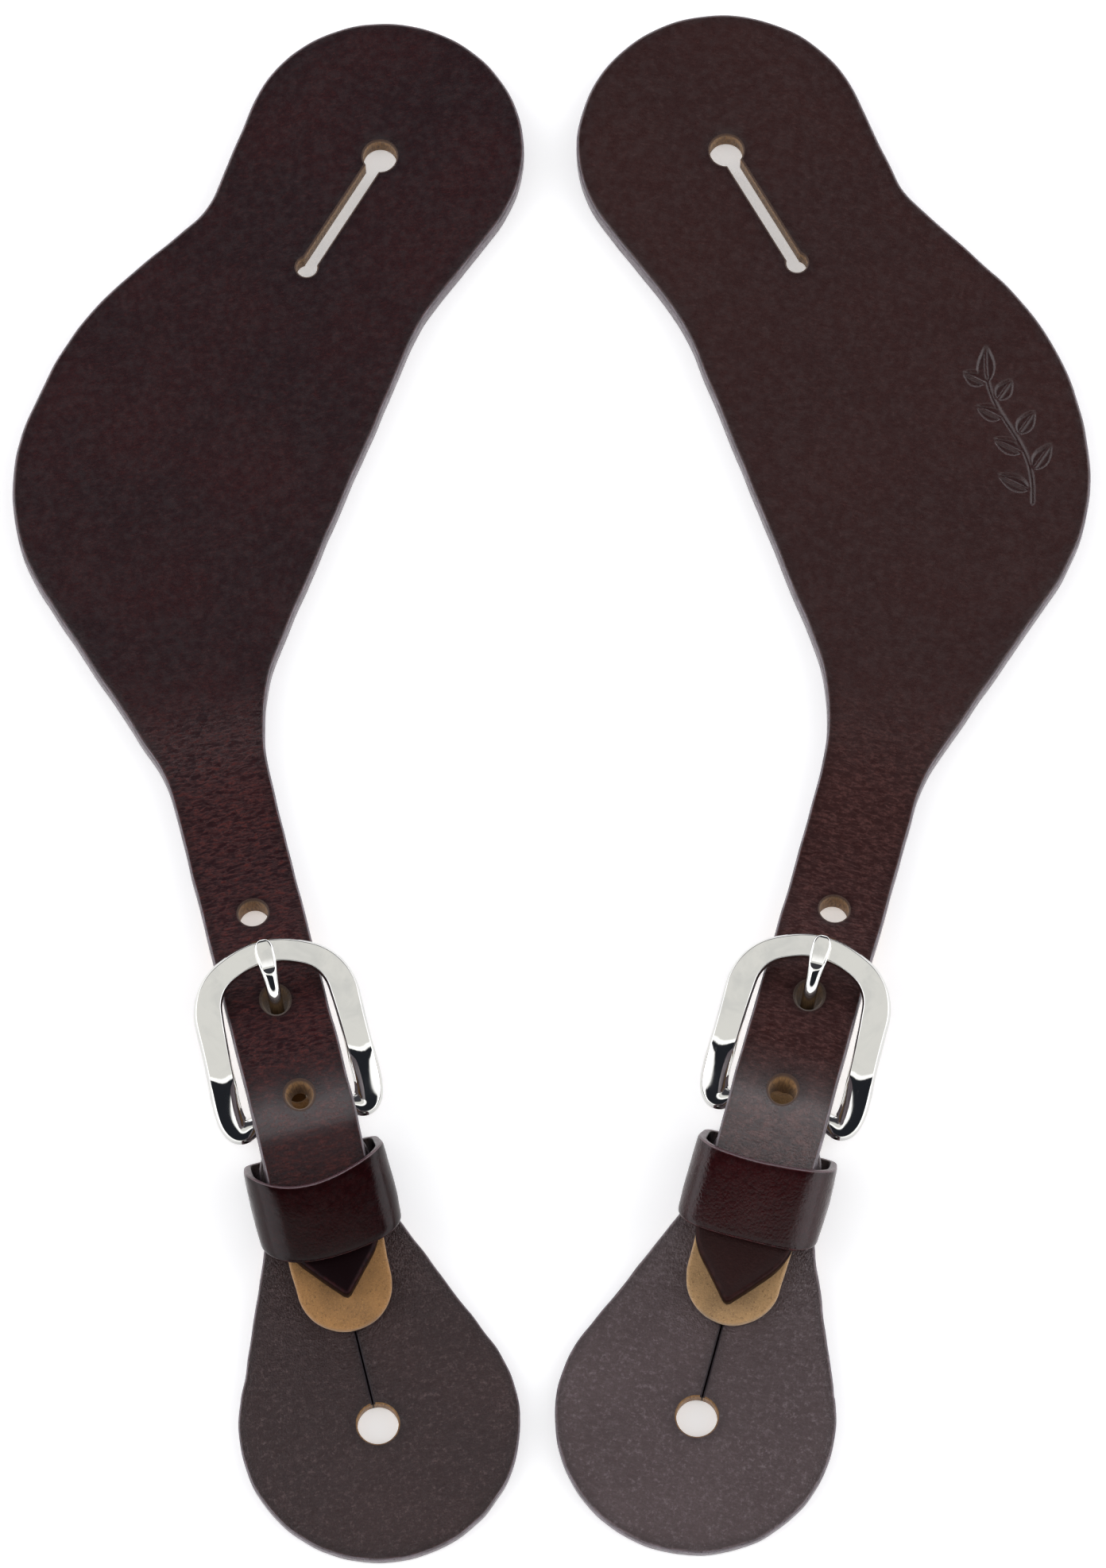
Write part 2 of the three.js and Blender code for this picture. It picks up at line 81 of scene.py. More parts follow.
BUTTON_THICKNESS = 3.0
BUTTON_HOLE = (0.0, -59.0, 3.7)
NECK_BASE_Z = 1.4
NECK_HALF_WIDTH = 8.7
TAB_THICKNESS = 2.2
TAB_HALF_WIDTH = 8.6
TAB_END_Y = -41.6
FOLD_THICKNESS = 2.0
TAB_GAP = 0.3
TONGUE_SLOT_HALF_WIDTH = 1.8
TONGUE_SLOT_REACH = 5.6
STITCH_ROW_X = 6.2
STITCH_START_Y = -9.5
STITCH_PITCH = 3.4
STITCH_COUNT = 4
THREAD_RADIUS = 0.35

BAR_RADIUS = 1.7
BAR_Z = 5.3
FRAME_THICKNESS = 2.6
FRAME_TILT = math.radians(10.5)
RAIL_INNER_Y = 26.9
RAIL_INNER_Z = 11.3
TONGUE_RADIUS = 1.2

KEEPER_HALF_WIDTH = 12.7
KEEPER_HEIGHT = 13.1
KEEPER_THICKNESS = 1.2
KEEPER_NEAR_Y = (-5.2, -11.8)          # the buckle side, at the table and at the top
KEEPER_FAR_Y = (-15.8, -27.5)

# ---- Sizes that leave the CAD model's, for the looks --------------------------------------------

SLIT_WIDTH = 0.24                      # a knife cut, shut towards the flesh side
SLIT_END_Y = -41.2                     # the tab covers its end
KEEPER_LIFT = 0.12                     # how far the buckle side of the keeper's top stands up
KEEPER_WIDTH = 12.0                    # of the band, before it is leant back

# The pair differs a little, as hand-made straps do: the reach of the point, a fuller shoulder, how far
# the top of the keeper sags at its two edges, and where the slot for the tongue ends on the tab.
SIDES = (
    {"name": "left", "mirror": 1.0, "tip": -36.8, "shoulder": 0.0, "seed": 11,
     "sag": (3.9, 2.2), "sag_x": -2.2, "slot_end": 7.9},
    {"name": "right", "mirror": -1.0, "tip": -39.3, "shoulder": 1.0, "seed": 29,
     "sag": (1.2, 0.2), "sag_x": 2.0, "slot_end": 5.0},
)


# ---- Small maths --------------------------------------------------------------------------------


def smoothstep(value, low, high):
    share = np.clip((value - low) / (high - low), 0.0, 1.0)
    return share * share * (3.0 - 2.0 * share)


def mix(a, b, share):
    return a + (b - a) * share


def bezier(points, steps):
    """Points along a cubic Bezier curve, both ends included."""
    a, b, c, d = (np.asarray(p, float) for p in points)
    t = np.linspace(0.0, 1.0, steps + 1)[:, None]
    return (1 - t) ** 3 * a + 3 * (1 - t) ** 2 * t * b + 3 * (1 - t) * t**2 * c + t**3 * d


def resample(points, count):
    """The open line through points, as count points an even distance apart."""
    points = np.asarray(points, float)
    steps = np.linalg.norm(np.diff(points, axis=0), axis=1)
    along = np.concatenate([[0.0], np.cumsum(steps)])
    wanted = np.linspace(0.0, along[-1], count)
    return np.stack([np.interp(wanted, along, points[:, k]) for k in range(points.shape[1])], 1)


def smoothed(points, rounds, closed=False):
    """The line through points with its kinks eased. An open line keeps its ends."""
    points = np.array(points, float)
    for _ in range(rounds):
        eased = 0.25 * np.roll(points, 1, 0) + 0.5 * points + 0.25 * np.roll(points, -1, 0)
        if not closed:
            eased[0], eased[-1] = points[0], points[-1]
        points = eased
    return points


def ripple(x, y, wavelength, seed, waves=14):
    """A smooth uneven field of about unit height whose bumps are about wavelength across."""
    rng = np.random.default_rng(seed)
    total = np.zeros(np.broadcast(x, y).shape)
    for _ in range(waves):
        heading, phase = rng.uniform(0.0, 2 * math.pi, 2)
        pitch = 2 * math.pi / (wavelength * rng.uniform(0.7, 1.6))
        total += np.sin((x * math.cos(heading) + y * math.sin(heading)) * pitch + phase)
    return total / math.sqrt(waves)


# ---- Outlines -----------------------------------------------------------------------------------


def belt_arcs(circles, chord):
    """The arcs of a closed outline that runs round circles like a belt round pulleys, counter-
    clockwise. A circle is (x, y, radius): below 0 it lies outside the outline, and 0 is a corner."""
    headings = []
    for i, (x, y, radius) in enumerate(circles):
        next_x, next_y, next_radius = circles[(i + 1) % len(circles)]
        distance = math.hypot(next_x - x, next_y - y)
        slope = math.asin((next_radius - radius) / distance)
        headings.append(math.atan2(next_y - y, next_x - x) - slope)
    arcs = []
    for i, (x, y, radius) in enumerate(circles):
        before = headings[i - 1]
        turn = (headings[i] - before) % (2 * math.pi)
        sweep = turn - 2 * math.pi if radius < 0 else turn
        steps = max(1, math.ceil(abs(sweep * radius) / chord)) if radius else 0
        angles = before - math.pi / 2 + sweep * np.linspace(0.0, 1.0, steps + 1)
        arcs.append(np.stack([x + radius * np.cos(angles), y + radius * np.sin(angles)], 1))
    return arcs


def filled_in(loop, chord):
    """The closed loop with its long straight stretches cut into steps of about chord."""
    points = []
    for a, b in zip(loop, np.roll(loop, -1, 0)):
        steps = max(1, round(float(np.linalg.norm(b - a)) / chord))
        points.extend(a + (b - a) * k / steps for k in range(steps))
    return np.array(points)


def belt(circles, chord=0.9):
    return filled_in(np.concatenate(belt_arcs(circles, chord)), chord)


def keyhole(head, end, width, chord=0.35):
    """A round head and a round end joined by a slot, counter-clockwise."""
    heading = math.atan2(end[1] - head[1], end[0] - head[0])
    arcs = []
    for x, y, radius, facing in ((*head, heading), (*end, heading + math.pi)):
        mouth = math.asin(min(1.0, width / 2 / radius))
        steps = max(6, math.ceil(radius * 2 * (math.pi - mouth) / chord))
        angles = np.linspace(facing + mouth, facing + 2 * math.pi - mouth, steps + 1)
        arcs.append(np.stack([x + radius * np.cos(angles), y + radius * np.sin(angles)], 1))
    return filled_in(np.concatenate(arcs), chord)


def round_hole(x, y, radius, stretch=1.0, chord=0.35):
    steps = math.ceil(2 * math.pi * radius / chord)
    angles = np.linspace(0.0, 2 * math.pi, steps, endpoint=False)
    return np.stack([x + radius * np.cos(angles), y + stretch * radius * np.sin(angles)], 1)


def inset(loop, distance):
    """The loop moved to its left, which is into the leather: outlines run counter-clockwise and
    holes clockwise."""
    edge = np.roll(loop, -1, 0) - loop
    edge /= np.linalg.norm(edge, axis=1)[:, None]
    after = np.stack([-edge[:, 1], edge[:, 0]], 1)
    before = np.roll(after, 1, 0)
    mitre = before + after
    mitre /= np.maximum(1.0 + np.sum(before * after, 1), 0.35)[:, None]
    return loop + mitre * np.reshape(distance, (-1, 1))


def inside(points, loops):
    """Which points lie in the leather: within an odd number of loops."""
    found = np.zeros(len(points), bool)
    x, y = points[:, 0], points[:, 1]
    for loop in loops:
        for (x0, y0), (x1, y1) in zip(loop, np.roll(loop, -1, 0)):
            if y0 != y1:
                crosses = (y0 > y) != (y1 > y)
                found ^= crosses & (x < (x1 - x0) * (y - y0) / (y1 - y0) + x0)
    return found


def distance_to(points, loops):
    """How far each point is from the nearest loop point."""
    rim = np.concatenate([filled_in(loop, 0.5) for loop in loops])
    nearest = []
    for start in range(0, len(points), 1500):
        part = points[start:start + 1500, None, :] - rim[None]
        nearest.append(np.sqrt((part**2).sum(2).min(1)))
    return np.concatenate(nearest)


# ---- Plates of leather --------------------------------------------------------------------------

GRAIN, EDGE, RAW, FLESH, SLIT = range(5)  # material slots of a piece of leather
ROUND_STEPS = (60.0, 30.0, 0.0)        # degrees round an edge, from its face to its wall


def hex_grid(low, high, pitch):
    rows = np.arange(low[1], high[1], pitch * math.sqrt(3) / 2)
    columns = np.arange(low[0], high[0], pitch)
    x, y = np.meshgrid(columns, rows)
    x[1::2] += pitch / 2
    return np.stack([x.ravel(), y.ravel()], 1)


def fill(loops, pitch, fine=None):
    """Triangles over the leather between the loops, with a grid of points inside it. fine is a box
    (low, high, pitch) with closer points. Gives the points, the triangles and each loop's indices."""
    outer = loops[0]
    grid = hex_grid(outer.min(0), outer.max(0), pitch)
    grid = grid[distance_to(grid, loops) > 0.7 * pitch]
    if fine is not None:
        low, high, fine_pitch = fine
        clear = np.any((grid < np.array(low) - pitch / 2) | (grid > np.array(high) + pitch / 2), 1)
        close = hex_grid(low, high, fine_pitch)
        close = close[distance_to(close, loops) > 0.7 * pitch]
        grid = np.concatenate([grid[clear], close])
    grid = grid[inside(grid, loops)]
    points = np.concatenate([*loops, grid])
    edges, start = [], 0
    for loop in loops:
        count = len(loop)
        edges.extend((start + k, start + (k + 1) % count) for k in range(count))
        start += count
    result = geometry.delaunay_2d_cdt([Vector(p) for p in points], edges, [], 0, 1e-6, True)
    made = np.array([tuple(v) for v in result[0]])
    triangles = np.array([list(f) for f in result[2]])
    triangles = triangles[inside(made[triangles].mean(1), loops)]
    new_index = {old: new for new, olds in enumerate(result[3]) for old in olds}
    rims, start = [], 0
    for loop in loops:
        rims.append(np.array([new_index[start + k] for k in range(len(loop))]))
        start += len(loop)
    return made, triangles, rims


class Plate:
    """A flat piece of leather of even thickness with rounded edges, before it is bent.

    plan is each vertex's place on the flat hide. side is 1 on the grain face, -1 on the flesh face
    and 0 half way down a wall, and drop is how far the vertex lies below its face. depth is its
    distance from the nearest edge."""

    def __init__(self, cuts, pitch, fine=None):
        """cuts holds (loop, rounding, wall material), the outline first."""
        loops = [cuts[0][0]] + [loop[::-1] for loop, _, _ in cuts[1:]]
        faces_from = [inset(loop, cut[1]) for loop, cut in zip(loops, cuts)]
        flat, triangles, rims = fill(faces_from, pitch, fine)
        count = len(flat)
        depth = np.minimum(distance_to(flat, loops), 50.0)
        self.plan = [flat, flat]
        self.side = [np.ones(count), -np.ones(count)]
        self.drop = [np.zeros(count), np.zeros(count)]
        self.depth = [depth, depth]
        self.faces = [tuple(t) for t in triangles]
        self.kinds = [GRAIN] * len(triangles)
        self.faces += [tuple(t[::-1] + count) for t in triangles]
        self.kinds += [FLESH] * len(triangles)
        self.total = 2 * count
        for loop, rim, (_, rounding, wall) in zip(loops, rims, cuts):
            self._wall(loop, rim, count, rounding, wall)
        self.plan, self.side, self.drop, self.depth = (
            np.concatenate(parts) for parts in (self.plan, self.side, self.drop, self.depth)
        )
        self.kinds = np.array(self.kinds)

    def _wall(self, loop, rim, count, rounding, wall):
        """The rings of points that turn from the grain face round to the flesh face."""
        rings = [rim]
        turns = [(1.0, math.radians(a)) for a in ROUND_STEPS] + [(0.0, 0.0)]
        turns += [(-1.0, math.radians(a)) for a in ROUND_STEPS[::-1]]
        for side, angle in turns:
            self.plan.append(inset(loop, rounding * (1 - math.cos(angle))))
            self.side.append(np.full(len(loop), side))
            self.drop.append(np.full(len(loop), rounding * (1 - math.sin(angle))))
            self.depth.append(np.zeros(len(loop)))
            rings.append(np.arange(self.total, self.total + len(loop)))
            self.total += len(loop)
        rings.append(rim + count)
        kinds = [GRAIN if wall == EDGE else wall] + [wall] * (len(rings) - 2)
        for upper, lower, kind in zip(rings, rings[1:], kinds):
            for a, b, c, d in zip(upper, lower, np.roll(lower, -1), np.roll(upper, -1)):
                self.faces.append((a, b, c, d))
                self.kinds.append(kind)

    def height(self, thickness):
        """Each vertex's height above the middle of the leather."""
        return self.side * (thickness / 2 - self.drop)


def bent(plan_x, run, height, line):
    """Points at plan_x across, run along and height above a centre line. line holds rows of
    (run, y, z), and the leather follows it in the y-z plane."""
    slope = np.gradient(line[:, 1:], line[:, 0], axis=0)
    slope /= np.linalg.norm(slope, axis=1)[:, None]
    along_y, along_z = (np.interp(run, line[:, 0], slope[:, k]) for k in (0, 1))
    length = np.hypot(along_y, along_z)
    y = np.interp(run, line[:, 0], line[:, 1]) - height * along_z / length
    z = np.interp(run, line[:, 0], line[:, 2]) + height * along_y / length
    return np.stack([plan_x, y, z], 1)


# ---- Making objects -----------------------------------------------------------------------------


class Strap:
    """One strap of the pair: where it lies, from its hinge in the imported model, and its pieces."""

    def __init__(self, side):
        self.name, self.mirror = side["name"], side["mirror"]
        self.left = self.name == "left"
        self.tip, self.shoulder, self.seed = side["tip"], side["shoulder"], side["seed"]
        self.sag, self.sag_x, self.slot_end = side["sag"], side["sag_x"], side["slot_end"]
        wanted = f"{self.name}_strap_hinge"
        hinge = next(j for j in frame["joints"] if j["name"] == wanted)
        axis = np.array(hinge["axis"], float)
        self.origin = np.array([hinge["pos_m"][0], hinge["pos_m"][1], 0.0])
        self.across = axis * self.mirror
        self.along = np.cross([0.0, 0.0, 1.0], axis)

    def to_model(self, points):
        """Points of the strap's own frame, in mm, as points of the model's frame, in metres."""
        points = np.asarray(points, float)
        flat = points[:, :1] * self.across + points[:, 1:2] * self.along
        flat[:, 2] += points[:, 2]
        return self.origin + flat * MM

    def piece(self, name, points, faces, materials, kinds=None, rest=None, **fields):
        """A mesh of the strap. rest is each vertex's place on the flat hide, in mm, which its
        materials read, and fields are further numbers for each vertex."""
        faces = [tuple(int(v) for v in f) for f in faces]
        if self.mirror < 0:
            faces = [f[::-1] for f in faces]
        mesh = bpy.data.meshes.new(f"{self.name}_{name}")
        mesh.from_pydata(self.to_model(points).tolist(), [], faces)
        for material in materials:
            mesh.materials.append(material)
        if kinds is not None:
            mesh.polygons.foreach_set("material_index", np.asarray(kinds, np.int32))
        mesh.polygons.foreach_set("use_smooth", np.ones(len(faces), bool))
        rest = points if rest is None else rest
        held = mesh.attributes.new("rest", "FLOAT_VECTOR", "POINT")
        held.data.foreach_set("vector", np.asarray(rest, np.float32).ravel())
        for field, values in fields.items():
            held = mesh.attributes.new(field, "FLOAT", "POINT")
            held.data.foreach_set("value", np.asarray(values, np.float32))
        mesh.update()
        made = bpy.data.objects.new(f"{self.name}_{name}", mesh)
        bpy.context.scene.collection.objects.link(made)
        return made

    def finish_piece(self, piece, body, slot, *nodes):
        """Puts a piece on its body, in place of its CAD nodes."""
        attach(piece, f"{self.name}_{body}")
        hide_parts(*[f"{self.name}_{node}" for node in nodes])


def facing_out(points, faces):
    """The faces of a closed solid, all turned over if they face its inside."""
    volume = 0.0
    for first, *others in faces:
        for second, third in zip(others, others[1:]):
            volume += float(points[first] @ np.cross(points[second], points[third]))
    return faces if volume > 0 else [face[::-1] for face in faces]


def loft(rings, closed):
    """Vertices and faces over rings of points. A closed loft joins its ends, and an open one has a
    cap on each, fanned out from its middle."""
    count, size = len(rings), len(rings[0])
    points = np.concatenate(rings)
    faces = []
    for i in range(count if closed else count - 1):
        a, b = i * size, (i + 1) % count * size
        faces += [(a + k, a + (k + 1) % size, b + (k + 1) % size, b + k) for k in range(size)]
    if not closed:
        for ring, start, flip in ((rings[0], 0, True), (rings[-1], (count - 1) * size, False)):
            middle = len(points)
            points = np.concatenate([points, [np.mean(ring, 0)]])
            for k in range(size):
                edge = (start + k, start + (k + 1) % size)
                faces.append((middle, *(edge[::-1] if flip else edge)))
    return points, facing_out(points, faces)


def frames_along(centres, up, closed=False):
    """For each point of a line, the unit vectors to its side and upwards, square to the line."""
    centres = np.asarray(centres, float)
    if closed:
        tangents = np.roll(centres, -1, 0) - np.roll(centres, 1, 0)
    else:
        tangents = np.gradient(centres, axis=0)
    tangents /= np.linalg.norm(tangents, axis=1)[:, None]
    sides = np.cross(tangents, up)
    sides /= np.linalg.norm(sides, axis=1)[:, None]
    return sides, np.cross(sides, tangents)


# ---- Materials ----------------------------------------------------------------------------------


class Nodes:
    """Short calls that add nodes to a tree and link them."""

    def __init__(self, tree):
        self.tree = tree

    def node(self, kind, **settings):
        made = self.tree.nodes.new(kind)
        for name, value in settings.items():
            setattr(made, name, value)
        return made

    def put(self, socket, value):
        if isinstance(value, bpy.types.NodeSocket):
            self.tree.links.new(value, socket)
        elif socket.type == "RGBA":
            socket.default_value = (*value, 1.0)
        else:
            socket.default_value = value

    def spread(self, value, low, high, to_low=0.0, to_high=1.0):
        """value mapped from low..high, and held within it."""
        made = self.node("ShaderNodeMapRange", interpolation_type="SMOOTHSTEP")
        for name, put in (("Value", value), ("From Min", low), ("From Max", high)):
            self.put(made.inputs[name], put)
        self.put(made.inputs["To Min"], to_low)
        self.put(made.inputs["To Max"], to_high)
        return made.outputs["Result"]

    def maths(self, operation, a, b):
        made = self.node("ShaderNodeMath", operation=operation)
        self.put(made.inputs[0], a)
        self.put(made.inputs[1], b)
        return made.outputs[0]

    def blend(self, a, b, share):
        made = self.node("ShaderNodeMix", data_type="RGBA")
        self.put(made.inputs["Factor"], share)
        sockets = [s for s in made.inputs if s.type == "RGBA"]
        self.put(sockets[0], a)
        self.put(sockets[1], b)
        return next(s for s in made.outputs if s.type == "RGBA")


class Finish(Nodes):
    """A procedural material. Patterns are laid out in mm on the flat hide, so they stay with the
    leather when it bends."""

    def __init__(self, name):
        self.material = bpy.data.materials.new(name)
        self.material.use_nodes = True
        super().__init__(self.material.node_tree)
        self.tree.nodes.clear()
        self.shader = self.node("ShaderNodeBsdfPrincipled")
        output = self.node("ShaderNodeOutputMaterial")
        self.put(output.inputs["Surface"], self.shader.outputs[0])
        self.rest = self.attribute("rest", "Vector")

    def surface(self, **values):
        """Sets the shader's own sockets. An underscore stands for a space."""
        for name, value in values.items():
            self.put(self.shader.inputs[name.replace("_", " ")], value)

    def attribute(self, name, output="Fac"):
        return self.node("ShaderNodeAttribute", attribute_name=name).outputs[output]

    def scaled(self, x, y, z):
        made = self.node("ShaderNodeMapping")
        self.put(made.inputs["Vector"], self.rest)
        self.put(made.inputs["Scale"], (x, y, z))
        return made.outputs["Vector"]

    def noise(self, scale, detail=3.0, roughness=0.55, distortion=0.0, place=None):
        made = self.node("ShaderNodeTexNoise")
        self.put(made.inputs["Vector"], place or self.rest)
        for name, value in (("Scale", scale), ("Detail", detail), ("Roughness", roughness)):
            self.put(made.inputs[name], value)
        self.put(made.inputs["Distortion"], distortion)
        return made.outputs["Fac"]

    def cells(self, scale, feature="F1", place=None):
        made = self.node("ShaderNodeTexVoronoi", feature=feature)
        self.put(made.inputs["Vector"], place or self.rest)
        self.put(made.inputs["Scale"], scale)
        return made.outputs["Distance"]

    def bump(self, height, depth_mm, under=None):
        """Relief of depth_mm where height goes from 0 to 1."""
        made = self.node("ShaderNodeBump")
        self.put(made.inputs["Strength"], 1.0)
        self.put(made.inputs["Distance"], depth_mm * MM)
        self.put(made.inputs["Height"], height)
        if under is not None:
            self.put(made.inputs["Normal"], under)
        return made.outputs["Normal"]

    def height_on_hide(self):
        """How far a point is above the middle of the leather, in mm."""
        made = self.node("ShaderNodeSeparateXYZ")
        self.put(made.inputs[0], self.rest)
        return made.outputs["Z"]


def grain_colour(f, deep, warm, pale_and_sheen, ridges, pores, patchy, painted_glint_amount):
    """Mottled dye, paler where creases stretch the grain, darker at the burnished margin and in the
    pores, where dye pools and shade is painted in; with painted glints, sheen and shade.
    """
    clouds = f.spread(f.noise(0.045, 2.0), 0.35, 0.7)
    mottle = f.spread(f.noise(0.5, 5.0, 0.6), 0.3, 0.75)
    fibre = f.noise(1.0, 4.0, 0.6, place=f.scaled(0.9, 2.6, 1.0))
    colour = f.blend(deep, warm, f.maths("MULTIPLY", clouds, patchy))
    colour = f.blend(colour, warm, f.maths("MULTIPLY", mottle, 0.45 * patchy))
    colour = f.blend(colour, pale_and_sheen, f.maths("MULTIPLY", f.spread(fibre, 0.45, 0.8), 0.16))
    colour = f.blend(colour, pale_and_sheen, f.maths("MULTIPLY", ridges, 0.4))
    # painted glints: pale specks standing for highlights on the pebbled grain
    painted_glints = f.spread(f.noise(1.15, 6.0, 0.8), 0.5, 0.66, 0.0, painted_glint_amount)
    colour = f.blend(colour, pale_and_sheen, painted_glints)
    # painted sheen: the pale colour is laid on where the billet is set to mirror most, below the hole
    # over the bar
    painted_sheen = f.spread(f.attribute("gloss"), 0.55, 1.1, 0.0, 0.7)
    colour = f.blend(colour, pale_and_sheen, f.maths("MULTIPLY", painted_sheen, f.spread(mottle, 0.2, 0.9)))
    # darker in the pores: dye pools there, and shade is painted into these small hollows
    colour = f.blend(colour, deep, f.maths("MULTIPLY", f.spread(pores, 0.42, 0.75), 0.5))
    # the darker colour of a burnished margin, also used for the painted shade on the tip
    burnish_and_shade = tuple(0.45 * c for c in deep)
    colour = f.blend(colour, burnish_and_shade, f.maths("MULTIPLY", f.attribute("margin"), 0.6))
    # a lighter rubbed edge: partly real wear, partly a painted highlight along the turn of the edge
    wear_and_highlight = f.maths("MULTIPLY", f.attribute("corner"), f.spread(f.noise(0.9, 4.0), 0.35, 0.62))
    colour = f.blend(colour, tuple(2.4 * c for c in warm), f.maths("MULTIPLY", wear_and_highlight, 0.55))
    # painted shade: the billet tip past the keeper is darkened
    return f.blend(colour, burnish_and_shade, f.attribute("dull"))


def grain_relief(f, ridges, pores, pebble, crease, fineness):
    """Pores and pebbled grain, wrinkles where the leather flexes, and knobs where it is knobbly."""
    fine_pores = f.cells(3.4 * fineness)
    relief = f.bump(f.maths("MULTIPLY", pores, -1.0), pebble)
    relief = f.bump(f.maths("MULTIPLY", fine_pores, -1.0), 0.5 * pebble, relief)
    relief = f.bump(f.noise(1.9 * fineness, 3.0, 0.6), 0.9 * pebble, relief)
    relief = f.bump(ridges, crease, relief)
    knobs = f.maths("MULTIPLY", f.noise(1.8, 4.0, 0.7), f.attribute("knobbly"))
    return f.bump(knobs, 0.55, relief)


def grain_finish(
    name, *, deep, warm, pale_and_sheen, rough, pebble, crease, patchy, shine, fineness, painted_glint_amount=0.0, even=True
):
    """The dyed, finished face of the leather. Where it isn't even, fields of the piece say how much of
    the room it mirrors, paint a sheen into its colour and paint shade on the tip past the keeper."""
    f = Finish(name)
    wrinkle = f.noise(1.0, 5.0, 0.66, 0.5, place=f.scaled(0.62, 1.75, 1.0))
    ridges = f.maths("MULTIPLY", f.spread(wrinkle, 0.42, 0.66), f.attribute("flex"))
    pores = f.cells(1.5 * fineness)
    roughness = f.spread(f.noise(0.7, 4.0), 0.3, 0.75, rough - 0.07, rough + 0.09)
    polish = f.maths("MULTIPLY", f.attribute("knobbly"), 0.13)
    reflection = shine
    # where shade is painted, the leather also mirrors less of the room
    if not even:
        reflection = f.spread(f.attribute("dull"), 0.0, 1.0, 2 * shine, 0.24 * shine)
        reflection = f.maths("MULTIPLY", reflection, f.attribute("gloss"))
    f.surface(
        Base_Color=grain_colour(f, deep, warm, pale_and_sheen, ridges, pores, patchy, painted_glint_amount),
        Roughness=f.maths("SUBTRACT", roughness, polish),
        Normal=grain_relief(f, ridges, pores, pebble, crease, fineness),
        Specular_IOR_Level=reflection,
    )
    return f.material


def edge_finish(name, dark, light, shine=0.6):
    """A cut edge, dyed and rubbed smooth: the layers of the hide show as faint lengthwise bands.
    With near-black colours it also stands for the shade painted in the slit.
    """
    f = Finish(name)
    layers = f.noise(1.0, 4.0, 0.6, place=f.scaled(0.35, 0.35, 3.2))
    spots = f.noise(1.6, 4.0, 0.65)
    colour = f.blend(dark, light, f.spread(layers, 0.35, 0.7))
    colour = f.blend(colour, dark, f.maths("MULTIPLY", f.spread(spots, 0.5, 0.75), 0.7))
    relief = f.bump(spots, 0.06, f.bump(layers, 0.07))
    roughness = f.spread(spots, 0.3, 0.7, 0.24, 0.42)
    f.surface(Base_Color=colour, Roughness=roughness, Normal=relief, Specular_IOR_Level=shine)
    return f.material


def raw_finish(name, tan, brown, dyed_from):
    """A punched wall: raw tan fibres, stained by the dye just under the grain, with shade painted into
    the hole the tongue stands in.
    """
    f = Finish(name)
    fibres = f.noise(1.0, 5.0, 0.7, place=f.scaled(2.6, 2.6, 0.9))
    colour = f.blend(brown, tan, f.spread(fibres, 0.3, 0.68))
    stain = f.spread(f.height_on_hide(), dyed_from, dyed_from + 0.7)
    colour = f.blend(colour, (0.045, 0.018, 0.008), stain)
    # painted shade: the wall of the hole the tongue stands in is darkened, as the tongue shades it
    colour = f.blend(colour, (0.030, 0.014, 0.005), f.attribute("painted_hole_shade"))
    relief = f.bump(fibres, 0.16)
    f.surface(Base_Color=colour, Roughness=0.85, Normal=relief, Sheen_Weight=0.25)
    return f.material


def suede_finish(name, tan, brown):
    """The flesh side: a short tan nap with dark flecks."""
    f = Finish(name)
    nap = f.noise(3.1, 6.0, 0.75)
    flecks = f.noise(2.2, 5.0, 0.78, 0.4)
    clouds = f.noise(0.16, 3.0)
    colour = f.blend(tan, tuple(0.72 * c for c in tan), f.spread(clouds, 0.35, 0.7))
    colour = f.blend(colour, brown, f.spread(flecks, 0.5, 0.74))
    colour = f.blend(colour, tuple(1.5 * c for c in tan), f.spread(nap, 0.5, 0.72, 0.0, 0.8))
    relief = f.bump(nap, 0.22)
    relief = f.bump(f.noise(5.0, 4.0, 0.7), 0.08, relief)
    f.surface(Base_Color=colour, Roughness=0.95, Normal=relief, Sheen_Weight=0.35)
    f.surface(Sheen_Roughness=0.5)
    return f.material


def nickel_finish(name, worn):
    """Polished nickel plate with faint handling marks, and painted shade where a piece asks for it."""
    f = Finish(name)
    smear = f.noise(0.16, 3.0, 0.6, 0.6)
    scratches = f.noise(1.0, 3.0, 0.6, 0.25, place=f.scaled(3.4, 0.22, 1.0))
    colour = f.blend((0.68, 0.675, 0.65), (0.60, 0.60, 0.585), f.spread(smear, 0.4, 0.75))
    # painted shade: the tongue is darkened from under the billet round to its curl
    colour = f.blend(colour, (0.09, 0.07, 0.05), f.attribute("dull"))
    marks = f.maths("MULTIPLY", f.spread(scratches, 0.58, 0.78), worn)
    roughness = f.maths("ADD", f.spread(smear, 0.3, 0.8, 0.045, 0.085), marks)
    relief = f.bump(f.noise(0.09, 1.0), 0.05)
    relief = f.bump(scratches, 0.0025 * (1 + 8 * worn), relief)
    f.surface(Base_Color=colour, Metallic=1.0, Roughness=roughness, Normal=relief)
    return f.material


def wire_finish(name):
    """Drawn steel wire."""
    f = Finish(name)
    drawn = f.noise(1.0, 4.0, 0.6, place=f.scaled(0.4, 9.0, 9.0))
    colour = f.blend((0.45, 0.44, 0.42), (0.66, 0.65, 0.63), drawn)
    f.surface(Base_Color=colour, Metallic=1.0, Roughness=f.spread(drawn, 0.3, 0.7, 0.25, 0.42))
    f.surface(Normal=f.bump(drawn, 0.01))
    return f.material


def thread_finish(name):
    """Waxed linen thread."""
    f = Finish(name)
    strands = f.noise(1.0, 4.0, 0.7, place=f.scaled(4.0, 1.2, 4.0))
    colour = f.blend((0.035, 0.016, 0.010), (0.12, 0.065, 0.04), f.spread(strands, 0.3, 0.7))
    f.surface(Base_Color=colour, Roughness=0.6, Normal=f.bump(strands, 0.08), Sheen_Weight=0.2)
    return f.material


